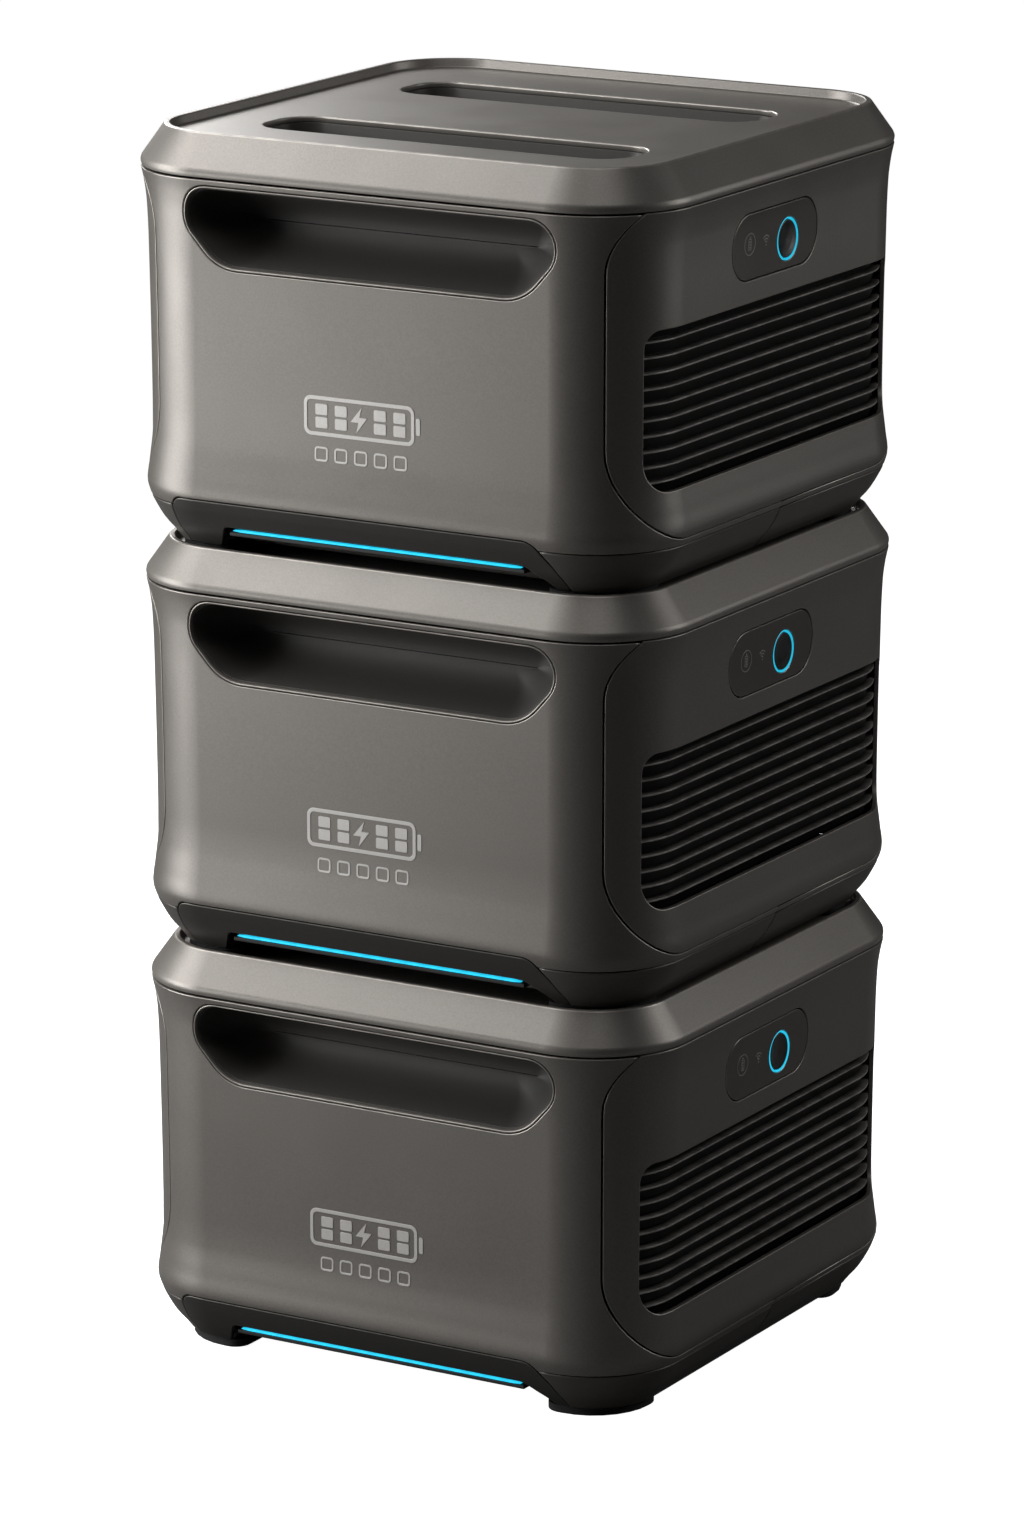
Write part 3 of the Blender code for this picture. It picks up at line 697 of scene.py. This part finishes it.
# Painted shade and highlight: the slats are near black for their shaded faces, and their large edge factor
# paints a bright line on each lip.
SLAT_SHADE_BLACK = moulded("vent_slats", (0.0080, 0.0076, 0.0070), 0.42, 0.10, edge=42.0)
INNER_BLACK = moulded("inner_plastic", (0.010, 0.010, 0.010), 0.60, 0.0, edge=2.5)
FAN_BLACK = moulded("fan_plastic", (0.014, 0.014, 0.015), 0.42, 0.0, edge=3.0, scale=800.0)
RUBBER = rubber("foot_rubber", (0.012, 0.012, 0.012))
CYAN_BAR = glowing("cyan_light_bar", (0.02, 0.58, 0.86), 1.05)
CYAN_RING = glowing("cyan_light_ring", (0.02, 0.52, 0.76), 1.0)
BUTTON = glossy("button_black", (0.010, 0.0105, 0.011))
SILVER = moulded("silver_mark", (0.56, 0.545, 0.52), 0.38, 0.25, grain=0.06, edge=1.2)
SCREW = metal("blackened_screw", (0.10, 0.10, 0.105), 0.38, (1.0, 1.0, 1.0))
CONTACT = metal("plated_contact", (0.80, 0.62, 0.30), 0.28)
CELL = metal("cell_can", (0.56, 0.57, 0.59), 0.36)
BOARD = circuit("circuit_board", (0.012, 0.085, 0.040))

# ---- placing pieces


def new_object(name, data):
    item = bpy.data.objects.new(name, data)
    SCENE.collection.objects.link(item)
    return item


def show(kind, skin, look, replaced=(), body="{tag}"):
    """Places a piece on every module, rides it on a body, and hides the CAD nodes it stands for."""
    mesh = skin.mesh(kind)
    mesh.materials.append(look)
    for tag, base in zip(TAGS, BASES):
        item = new_object(f"{tag}_{kind}", mesh)
        item.location = (0, 0, base)
        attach(item, body.format(tag=tag, number=tag[-1]))
        if replaced:
            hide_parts(*[f"{tag}_{node}" for node in replaced])


# ---- shells


def half_round(face, low, high, gap):
    """A band that goes half the way round the wall, with a face in its middle."""
    return rectangle(face[0] - SIDE_AT + gap, low, face[0] + SIDE_AT - gap, high, 0.0)


def outer_shell():
    """The front and rear halves of the body wall, which meet under the side covers."""
    skin = Skin()
    low, high = CREASE_Z + GAP, SEAM_Z - 0.0009
    right, left = on(RIGHT, cover_outline(-GROOVE)), on(LEFT, cover_outline(-GROOVE))
    before = [point - Vector((ROUND, 0)) for point in left]
    trim, port = on(FRONT, trim_outline(-GROOVE, False)), on(REAR, port_outline(-GAP))
    for face, holes in ((FRONT, [trim, right, before]), (REAR, [port, right, left])):
        mouth = on(face, handle_outline(-GAP))
        wall_piece(skin, half_round(face, low, high, GAP), [mouth, *holes])
    show("outer_shell", skin, TITANIUM, ["body_shell"])


def side_covers():
    for side, face in (("left", LEFT), ("right", RIGHT)):
        skin = Skin()
        holes = [on(face, vent_outline())]
        if side == "right":
            holes.append(on(face, panel_outline(-GROOVE)))
        wall_piece(skin, clipped(on(face, cover_outline(GAP)), SEAM_Z - GAP), holes)
        show(f"{side}_side_cover", skin, COVER_DARK, [f"{side}_cover"])


def plan_row(inset, height):
    return [spot(along, height, inset) for along in RING_STATIONS]


def slot_rows(centre, levels):
    return [[Vector((*point, height)) for point in slot_outline(centre, inset)] for inset, height in levels]


def top_lid():
    """The lid: a rolled lower edge, a wide chamfer, a rounded crest, and a sunk deck with two slots."""
    skin, liners = Skin(), Skin()
    foot, bend, crest = SEAM_Z + 0.0005, 0.2520, 0.27495
    deck_inset, skin_under = 0.040, 0.0025
    outer = [
        (0.0040, foot), (0.0015, foot), (0.0, bend), (0.01558, 0.2738), (0.0164, crest),
        (0.0200, crest), (0.0218, DECK_Z), (deck_inset, DECK_Z),
    ]
    path = fillet_path(outer, [0, 0.0005, 0.0060, 0, 0.0016, 0.0010, 0.0014, 0], 6)
    under = [(deck_inset, DECK_Z - skin_under), (0.0250, DECK_Z - skin_under), (0.0042, bend)]
    path = [*fillet_path([*under, outer[0]], [0, 0.002, 0.001, 0], 2)[:-1], *path]
    # Painted highlight: a bright line along the crest's outer edge.
    wear_and_highlight = [1.0 if height > 0.2739 and 0.0150 < inset < 0.0172 else 0.0 for inset, height in path]
    grid(skin, [plan_row(inset, height) for inset, height in path], wear_and_highlight)
    lip, grown = 0.0011, 0.0018
    deck = [Vector(around(along, deck_inset)) for along in RING_STATIONS]
    for sign, height, reach in ((1, DECK_Z, grown), (-1, DECK_Z - skin_under, skin_under)):
        flat, triangles = flat_region(deck, [slot_outline(centre, -reach) for centre in (-SLOT_Y, SLOT_Y)])
        for triangle in triangles:
            corners = [skin.point((*flat[corner], height)) for corner in triangle]
            skin.face(corners[::sign], [Vector((0, 0, sign))] * 3)
    drop = [(-grown, DECK_Z)]
    for step in range(5):
        angle = math.pi / 2 * step / 4
        drop.append((-lip * (1 - math.sin(angle)), DECK_Z - lip * (1 - math.cos(angle))))
    liner_top = (-0.0006, DECK_Z - 0.0036)
    drop += [(0.0, DECK_Z - 0.0032), liner_top]
    pocket = [liner_top, (0.0004, DECK_Z - 0.0040), (0.0040, SLOT_FLOOR), (0.0160, SLOT_FLOOR)]
    housing = [(-skin_under, SLOT_FLOOR - skin_under), (-skin_under, DECK_Z - skin_under)]
    for centre in (-SLOT_Y, SLOT_Y):
        # Painted highlight: a bright line round each slot's rim.
        grid(skin, slot_rows(centre, drop), [0.0, 0.0, 0.9, 0.9, 0.9, 0.3, 0.0, 0.0])
        grid(liners, slot_rows(centre, fillet_path(pocket, [0, 0.0004, 0.0060, 0], 6)), caps="last")
        grid(liners, slot_rows(centre, housing), caps="first")
    show("slot_liners", liners, LINER_SHADE_DARK)
    show("top_lid", skin, LID_LIT_GREY, ["lid"])


def tray():
    """The base tray: a tapering skirt, a ribbed floor, and the back of the light bar's recess."""
    skin = Skin()
    low, high = 0.0055, CREASE_Z - GAP
    trim = on(FRONT, trim_outline(-GROOVE, False))
    for face, holes in ((FRONT, [trim]), (REAR, [])):
        wall_piece(skin, half_round(face, low, high, GAP / 2), holes, WALL, 0.0012, 0.35)
    ring = [Vector(around(along, 0.0275)) for along in RING_STATIONS]
    outline = [Vector((point.x, -point.y)) for point in reversed(ring)]
    holes = [rectangle(ARCH_LEFT_FOOT, -RECESS_Y, ARCH_RIGHT_FOOT, 0.25, 0.004)]
    for column in (-0.078, -0.026, 0.026, 0.078):
        holes += [block(column, row, 0.021, 0.028, 0.006) for row in (-0.085, -0.015, 0.055)]
    plate(skin, outline, holes, underside(low + 0.0003), 0.0035, 0.0008, wear_and_highlight=0.3)
    sheet = rectangle(-0.103, -0.117, 0.103, 0.087, 0.004)
    plate(skin, sheet, [], underside(low + 0.0030), 0.0015, 0.0004, wear_and_highlight=0.0)

    def recess_back(u, v, depth=0.0):
        return Vector((u, RECESS_Y + 0.0005 + depth, v))

    backing = rectangle(ARCH_LEFT_FOOT - 0.004, low + 0.001, ARCH_RIGHT_FOOT + 0.004, 0.040, 0.002)
    plate(skin, backing, [], recess_back, 0.002, 0.0005, wear_and_highlight=0.0)
    show("skirt_tray", skin, TRAY_DARK, ["base_tray"])


def foot_pads():
    """Four rubber corner feet, each with a screw in a sunk hole."""
    pads, screws = Skin(), Skin()
    far_x, far_y, reach = WIDTH / 2 - FOOT_INSET, DEPTH / 2 - FOOT_INSET, 0.056

    def pad(sign_x, sign_y, inset):
        low_x, low_y = far_x - reach + inset, far_y - reach + inset
        radii = [0.012 - inset, 0.011 - inset, CORNER - FOOT_INSET - inset, 0.011 - inset]
        outline = rectangle(low_x, low_y, far_x - inset, far_y - inset, radii)
        return [Vector((sign_x * point.x, sign_y * point.y)) for point in outline][::sign_x * sign_y]

    for signs in ((-1, -1), (-1, 1), (1, -1), (1, 1)):
        middle = Vector((signs[0] * (far_x - 0.027), signs[1] * (far_y - 0.027)))
        hole = circle(middle.x, middle.y, 0.0062)
        plate(pads, pad(*signs, 0.0), [pad(*signs, 0.0060)], underside(0.0), 0.0053, 0.0008)
        plate(pads, pad(*signs, 0.0085), [hole], underside(0.0), 0.0053, 0.0008)
        screw_head(screws, middle, underside(0.0028), 0.0052)
    show("foot_pads", pads, RUBBER)
    show("foot_screws", screws, SCREW)


def screw_head(skin, centre, surface, radius):
    """A flat screw head with a six-lobed recess, laid on a surface."""
    u, v = centre
    recess, floor = circle(u, v, radius * 0.46, 36, 0.16), behind(surface, radius * 0.30)
    plate(skin, circle(u, v, radius), [recess], surface, radius * 0.36, radius * 0.09)
    plate(skin, circle(u, v, radius * 0.62), [], floor, radius * 0.2, radius * 0.03, wear_and_highlight=0.0)


# ---- front


def lower_trim():
    skin = Skin()
    wall_piece(skin, on(FRONT, trim_outline(GAP, True)), [], 0.0035, 0.0008)
    show("lower_trim", skin, TRIM_DARK, ["front_trim"])


def swept_bar(skin, section, first, last, taper, steps=24):
    """A bar along X: a closed (y, z) section, drawn in to its middle height towards both ends."""
    middle = sum(point[1] for point in section) / len(section)
    rows = []
    for step in range(steps + 1):
        share = step / steps
        near = min(share, 1 - share) * (last - first)
        keep = min(1.0, 0.35 + 0.65 * math.sqrt(min(1.0, near / taper))) if taper else 1.0
        x = first + (last - first) * share
        rows.append([Vector((x, y, middle + (z - middle) * keep)) for y, z in section])
    grid(skin, rows, caps="both")


def light_bar():
    """The lit bar in the arch, and the dark carrier whose lip shows under it."""
    low, high = 0.0191, 0.0207
    front = -(DEPTH / 2 - wall_inset(high)) + 0.0012
    bar, carrier = Skin(), Skin()
    swept_bar(bar, rectangle(front, low, front + 0.0030, high, 0.0007, 4), -0.1065, 0.1065, 0.004, 40)
    show("light_guide", bar, CYAN_BAR, ["light_bar"])
    lip, back, foot = front + 0.0006, RECESS_Y - 0.0005, low - 0.0030
    corners = [
        (lip, foot), (back, foot), (back, 0.0395), (front + 0.0100, 0.0395),
        (front + 0.0100, low - 0.0004), (lip, low - 0.0004),
    ]
    profile = rounded(corners, [0.0008, 0.0005, 0.0005, 0.0005, 0.0004, 0.0006], 3)
    swept_bar(carrier, profile, -0.1095, 0.1085, 0.0)
    show("light_carrier", carrier, INNER_BLACK)


def handle_scoops():
    """A rolled lip round each mouth, and a smooth scoop behind it, darkened as painted shade."""
    rim = [
        (0.0003, 0.0044), (0.0003, 0.0008), (0.0005, 0.0003), (0.0009, 0.0001), (0.0013, 0.0002),
        (0.0016, 0.0006), (0.0019, 0.0014), (0.0026, 0.0044),
    ]
    # Painted highlight: a bright line along each mouth's rolled lip.
    wear_and_highlight = [0.0, 0.2, 1.0, 1.0, 0.9, 0.5, 0.25, 0.0]
    scoop = [(0.0006, 0.0440), (0.0006, 0.0040), (0.0026, 0.0036)]
    for step in range(13):
        turn = math.pi / 2 * step / 12
        scoop.append((0.0030 + 0.0228 * (1 - math.cos(turn)), 0.0038 + 0.0382 * math.sin(turn)))
    for kind, side in (("front", 1), ("rear", -1)):
        lip, cup = Skin(), Skin()
        grid(lip, [handle_row(side, *level) for level in rim], wear_and_highlight, loop_rows=True)
        show(f"{kind}_handle_lip", lip, TITANIUM)
        grid(cup, [handle_row(side, *level) for level in scoop], caps="both")
        show(f"{kind}_handle_scoop", cup, HANDLE_SHADE_GREY, [f"{kind}_handle_cup"])


def handle_row(side, inset, depth):
    """One ring of a handle: the mouth's outline at an inset, at a depth behind the wall.

    Deeper rings lie in one upright plane, and their ends lean inwards.
    """
    level_by, lean_from, lean = 0.012, 0.004, 0.30
    middle = wall_inset((HANDLE_TOP + HANDLE_BOTTOM) / 2)
    share = min(1.0, max(0.0, depth / level_by))
    row = []
    for x, z in handle_outline(inset, max(0.0, depth - lean_from) * lean):
        stand = wall_inset(z) + (middle - wall_inset(z)) * share
        where = spot(unroll(x, FLAT_X), z, stand + depth)
        row.append(Vector((side * where.x, side * where.y, z)))
    return row


def emblem(kind, shapes, look, surface, thickness, edge, wear_and_highlight):
    """Shows thin shapes on a surface; each is an outline, then its holes."""
    skin = Skin()
    for outline, *holes in shapes:
        plate(skin, outline, holes, surface, thickness, edge, wear_and_highlight=wear_and_highlight)
    show(kind, skin, look)


def front_mark():
    """A generic mark: a battery with a bolt in it, over a row of small cells."""
    low_x, high_x, low_z, high_z = -0.0480, 0.0335, 0.0905, 0.1160
    middle_x, middle_z, line = (low_x + high_x) / 2, (low_z + high_z) / 2, 0.0024
    case = rectangle(low_x, low_z, high_x, high_z, 0.0050)
    hollow = rectangle(low_x + line, low_z + line, high_x - line, high_z - line, 0.0032)
    cap = rectangle(high_x + 0.0012, middle_z - 0.0055, high_x + 0.0042, middle_z + 0.0055, 0.0012)
    bolt = [(-0.0020, -0.0085), (0.0062, 0.0018), (0.0004, 0.0018)]
    bolt += [(0.0022, 0.0085), (-0.0062, -0.0016), (-0.0004, -0.0016)]
    shapes = [(case, hollow), (cap,), ([Vector((middle_x + x, middle_z + z)) for x, z in bolt],)]
    for column in (0, 1, 3, 4):
        start = low_x + 0.0085 + column * 0.0144
        for low in (low_z + 0.0050, low_z + 0.0135):
            shapes.append((rectangle(start, low, start + 0.0090, low + 0.0070, 0.0010),))
    for column in range(5):
        start = low_x + 0.0078 + column * 0.0146
        cell = rectangle(start, 0.0740, start + 0.0098, 0.0835, 0.0022, 4)
        shapes.append((cell, rectangle(start + 0.0013, 0.0753, start + 0.0085, 0.0822, 0.0010, 4)))
    emblem("front_mark", shapes, SILVER, behind(wall, -0.0003), 0.0006, 0.00015, 0.3)


# ---- sides


def vent_slats():
    """Overlapping slats behind each vent: a rounded lip with a painted highlight, a shelf, and a face that
    falls back, coloured near black as painted shade.
    """
    low, high = VENT_LOW - 0.003, VENT_HIGH + 0.003
    pitch = (high - low) / SLATS
    half = FLAT_Y + QUARTER * 7 / CORNER_STEPS
    face, root, back = 0.0098, 0.0150, 0.0172
    for side, middle in (("left", LEFT[0]), ("right", RIGHT[0])):
        skin, screen = Skin(), Skin()
        first, last = middle - half, middle + half
        stations = [first, *corner_stations(first + 1e-6, last - 1e-6), last]
        for slat in range(SLATS):
            top = low + (slat + 1) * pitch - 0.0003
            foot = low + slat * pitch + 0.0008
            corners = [
                (root, foot), (root + 0.0018, foot), (face + 0.0044, top - 0.0022), (back, top - 0.0022),
                (back, top), (face, top), (face, top - 0.0011), (face + 0.0028, top - 0.0015),
            ]
            section = rounded(corners, [0.0, 0.0, 0.0, 0.0, 0.0, 0.0003, 0.0003, 0.0], 2)
            rows = [[spot(along, height, inset) for inset, height in section] for along in stations]
            start = len(skin.points)
            grid(skin, rows, caps="both")
            for index in range(start, len(skin.points)):
                # The lip rows get the full edge mask: a painted highlight.
                skin.wear_and_highlight[index] = 1.0 if 5 <= (index - start) % len(section) <= 10 else 0.0
        show(f"{side}_vent_slats", skin, SLAT_SHADE_BLACK, [f"{side}_grille"])
        # A black sheet behind the slats: painted shade standing for the deep, shaded vent.
        sheet = rectangle(first, low - 0.001, last, high + 0.001, 0.0)
        plate(screen, sheet, [], upright(back + 0.0006), 0.0012, 0.0004, STATIONS, (), 0.0)
        show(f"{side}_dust_screen", screen, INNER_BLACK)


def control_fascia():
    """The fascia let into the right cover, with a hole for the button."""
    fascia = Skin()
    hole = circle(SIDE_AT + BUTTON_Y, BUTTON_Z, 0.0141, 48)
    levels = [0.190 + 0.004 * step for step in range(11)]
    outline = on(RIGHT, panel_outline(0.0004))
    plate(fascia, outline, [hole], behind(wall, 0.0002), WALL, 0.0006, (), levels)
    show("control_fascia_plate", fascia, PANEL_DARK, ["control_fascia"])


def panel_glyphs():
    """Two faint icons beside the button: a battery gauge in a ring, and three wireless waves."""
    u, v = SIDE_AT - 0.044, 0.2110
    shapes = [
        (circle(u, v, 0.0073, 32), circle(u, v, 0.0066, 32)),
        (block(u, v - 0.0002, 0.0022, 0.0038, 0.0012, 3), block(u, v - 0.0002, 0.0015, 0.0031, 0.0008, 3)),
        (rectangle(u - 0.0009, v + 0.0040, u + 0.0009, v + 0.0049, 0.0003, 2),),
    ]
    for step in range(3):
        low = v - 0.0026 + step * 0.0017
        shapes.append((rectangle(u - 0.0010, low, u + 0.0010, low + 0.0011, 0.0002, 1),))
    u = SIDE_AT - 0.0225
    shapes += [(wave_arc(u, v - 0.0030, radius, 0.0008),) for radius in (0.0059, 0.0040, 0.0021)]
    shapes.append((circle(u, v - 0.0035, 0.0007, 12),))
    emblem("panel_glyphs", shapes, GLYPH_GREY, behind(wall, 0.00005), 0.0004, 0.0001, 0.0)


def power_button():
    """The lit ring, and the dished button in it."""
    ring, button = Skin(), Skin()
    face, rim = WIDTH / 2 - wall_inset(BUTTON_Z), 0.0124
    centre = Vector((0, BUTTON_Y, BUTTON_Z))
    section = rectangle(0.0130, face - 0.0034, 0.0137, face - 0.0002, 0.0003, 4)
    turned(ring, section, centre, TOWARD_RIGHT, 56, hollow=True)
    show("light_ring", ring, CYAN_RING, ["button_light_ring"])
    corners = [(0.0004, face - 0.0050), (rim - 0.0004, face - 0.0050), (rim, face - 0.0046),
               (rim, face - 0.0004), (0.0075, face - 0.0011), (0.0004, face - 0.0016)]
    turned(button, fillet_path(corners, [0, 0, 0.0, 0.0008, 0.004, 0], 4), centre, TOWARD_RIGHT, 56)
    show("power_button_cap", button, BUTTON, ["power_button"], "power_button_{number}")


def wave_arc(along, height, radius, line):
    """One wireless wave: a quarter ring over a point, as an outline."""
    middle = Vector((along, height))
    angles = [math.radians(45 + 90 * step / 8) for step in range(9)]
    spokes = [Vector((math.cos(angle), math.sin(angle))) for angle in angles]
    outer = [middle + spoke * radius for spoke in spokes]
    return outer + [middle + spoke * (radius - line) for spoke in spokes[::-1]]


# ---- rear


def rear_ports():
    """The connector plate with two sockets, their contacts, and four screws."""
    skin, pins, screws = Skin(), Skin(), Skin()
    middle_z = (PORT_LOW + PORT_HIGH) / 2

    def mouth(x, inset=0.0):
        return block(x, middle_z, SOCKET_HALF_X - inset, SOCKET_HALF_Z - inset, 0.004 - min(0.003, inset))

    mouths = [on(REAR, mouth(x)) for x in (-SOCKET_X, SOCKET_X)]
    outline = on(REAR, port_outline(GAP))
    plate(skin, outline, mouths, behind(wall, 0.0004), 0.0026, 0.0007, (), WALL_LEVELS)
    outer = DEPTH / 2 - wall_inset(middle_z) - 0.0004
    cup = [(-0.0022, 0.0215), (-0.0022, 0.0030), (0.0, 0.0028), (0.0, 0.0170), (0.0010, 0.0184),
           (0.0030, 0.0186)]
    for x in (-SOCKET_X, SOCKET_X):
        rows = []
        for inset, depth in cup:
            rows.append([Vector((-point.x, outer - depth, point.y)) for point in mouth(x, inset)])
        grid(skin, rows, caps="both")
        for offset_x, radius in ((-0.0095, 0.0026), (0.0095, 0.0026), (0.0, 0.0016)):
            centre = Vector((x + offset_x, outer - 0.0190, middle_z))
            tip = [(0.0003, 0.0), (radius, 0.0), (radius, 0.0120)]
            tip += [(radius * 0.55, 0.0138), (0.0003, 0.0142)]
            turned(pins, fillet_path(tip, [0, 0, 0.0006, 0.0006, 0], 3), centre, TOWARD_REAR, 20)
    for x in (-PORT_HALF_X + 0.0068, PORT_HALF_X - 0.0068):
        for z in (PORT_LOW + 0.0068, PORT_HIGH - 0.0068):
            screw_head(screws, Vector((2 * SIDE_AT + x, z)), behind(wall, -0.0004), 0.0031)
    show("rear_connector_plate", skin, TRIM_DARK, ["rear_port_plate"])
    show("socket_contacts", pins, CONTACT)
    show("connector_screws", screws, SCREW)


# ---- pieces kept from the frame


def dress_inner_nodes():
    looks = {
        "cell_pack": CELL, "management_board": BOARD, "fan_frame": FAN_BLACK, "fan_rotor": FAN_BLACK,
        "terminal_block": INNER_BLACK,
    }
    for tag in TAGS:
        for node, look in looks.items():
            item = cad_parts[f"{tag}_{node}"]
            item.data.materials.clear()
            item.data.materials.append(look)


# ---- stage, lights and camera


def pale_floor():
    skin = Skin()
    corners = [(9.0 * x, 9.0 * y, -0.0002) for x, y in ((-1, -1), (1, -1), (1, 1), (-1, 1))]
    skin.face([skin.point(corner) for corner in corners], [Vector((0, 0, 1))] * 4)
    mesh = skin.mesh("pale_floor")
    nodes = Nodes("pale_floor")
    seen = nodes.add("ShaderNodeLightPath").outputs["Is Camera Ray"]
    pale = nodes.remap(nodes.noise(3.0), 0.99, 1.0)
    nodes.feed(Base_Color=nodes.mix(seen, (0.18, 0.18, 0.18), (0.85, 0.85, 0.85)),
               Emission_Color=(1.0, 1.0, 1.0), Emission_Strength=nodes.math("MULTIPLY", seen, pale),
               Roughness=0.9, Specular_IOR_Level=0.1)
    mesh.materials.append(nodes.made)
    item = new_object("pale_floor", mesh)


AMBIENT = 0.008


def looking(name, data, azimuth, elevation, distance, target):
    """A light or camera that looks at the target; its azimuth counts from the front to the right."""
    a, e = math.radians(azimuth), math.radians(elevation)
    back = Vector((math.sin(a) * math.cos(e), -math.cos(a) * math.cos(e), math.sin(e)))
    item = new_object(name, data)
    item.location = Vector(target) + back * distance
    item.rotation_mode = "QUATERNION"
    item.rotation_quaternion = (-back).to_track_quat("-Z", "Y")
    return item


def softbox(name, azimuth, elevation, distance, width, height, power, target):
    lamp = bpy.data.lights.new(name, "AREA")
    lamp.shape = "RECTANGLE"
    lamp.size, lamp.size_y = width, height
    lamp.energy = power
    looking(name, lamp, azimuth, elevation, distance, target)


def studio():
    world = bpy.data.worlds.new("studio")
    SCENE.world = world
    world.use_nodes = True
    tree, background = world.node_tree, world.node_tree.nodes["Background"]
    seen = tree.nodes.new("ShaderNodeLightPath").outputs["Is Camera Ray"]
    power = tree.nodes.new("ShaderNodeMapRange")
    power.inputs["To Min"].default_value = AMBIENT
    power.inputs["To Max"].default_value = 1.0
    tree.links.new(seen, power.inputs["Value"])
    tree.links.new(power.outputs["Result"], background.inputs["Strength"])
    background.inputs["Color"].default_value = (1.0, 1.0, 1.0, 1.0)
    aim, upper = (0.0, 0.0, 0.45), (0.0, 0.0, 0.60)
    # name, azimuth, elevation, distance, width, height, power, target
    softbox("key_left", -60, 10, 1.8, 1.0, 1.2, 25.0, aim)
    softbox("low_left", -44, 1, 1.8, 1.0, 0.5, 6.6, (0.0, 0.0, 0.20))
    softbox("near_left", -58, 38, 1.1, 0.5, 0.7, 3.8, upper)
    softbox("high_left", -42, 52, 1.8, 1.0, 1.2, 8.0, aim)
    softbox("back_left", -130, 26, 1.8, 0.8, 0.8, 21.0, (-0.13, 0.0, 0.80))
    softbox("high_right", 38, 60, 1.5, 0.8, 0.8, 2.2, (0.10, -0.10, 0.60))
    softbox("side_right", 124, 18, 1.8, 0.8, 1.0, 7.0, aim)
    SCENE.view_settings.view_transform = "Standard"


def camera():
    lens = bpy.data.cameras.new("camera")
    lens.lens = 159.35
    lens.sensor_width = 36.0
    lens.clip_end = 60.0
    SCENE.camera = looking("camera", lens, 30.42, 14.45, 4.5, (-0.0070, 0.0, 0.3741))


outer_shell()
side_covers()
top_lid()
tray()
foot_pads()
lower_trim()
light_bar()
handle_scoops()
front_mark()
vent_slats()
control_fascia()
panel_glyphs()
power_button()
rear_ports()
dress_inner_nodes()
pale_floor()
studio()
camera()
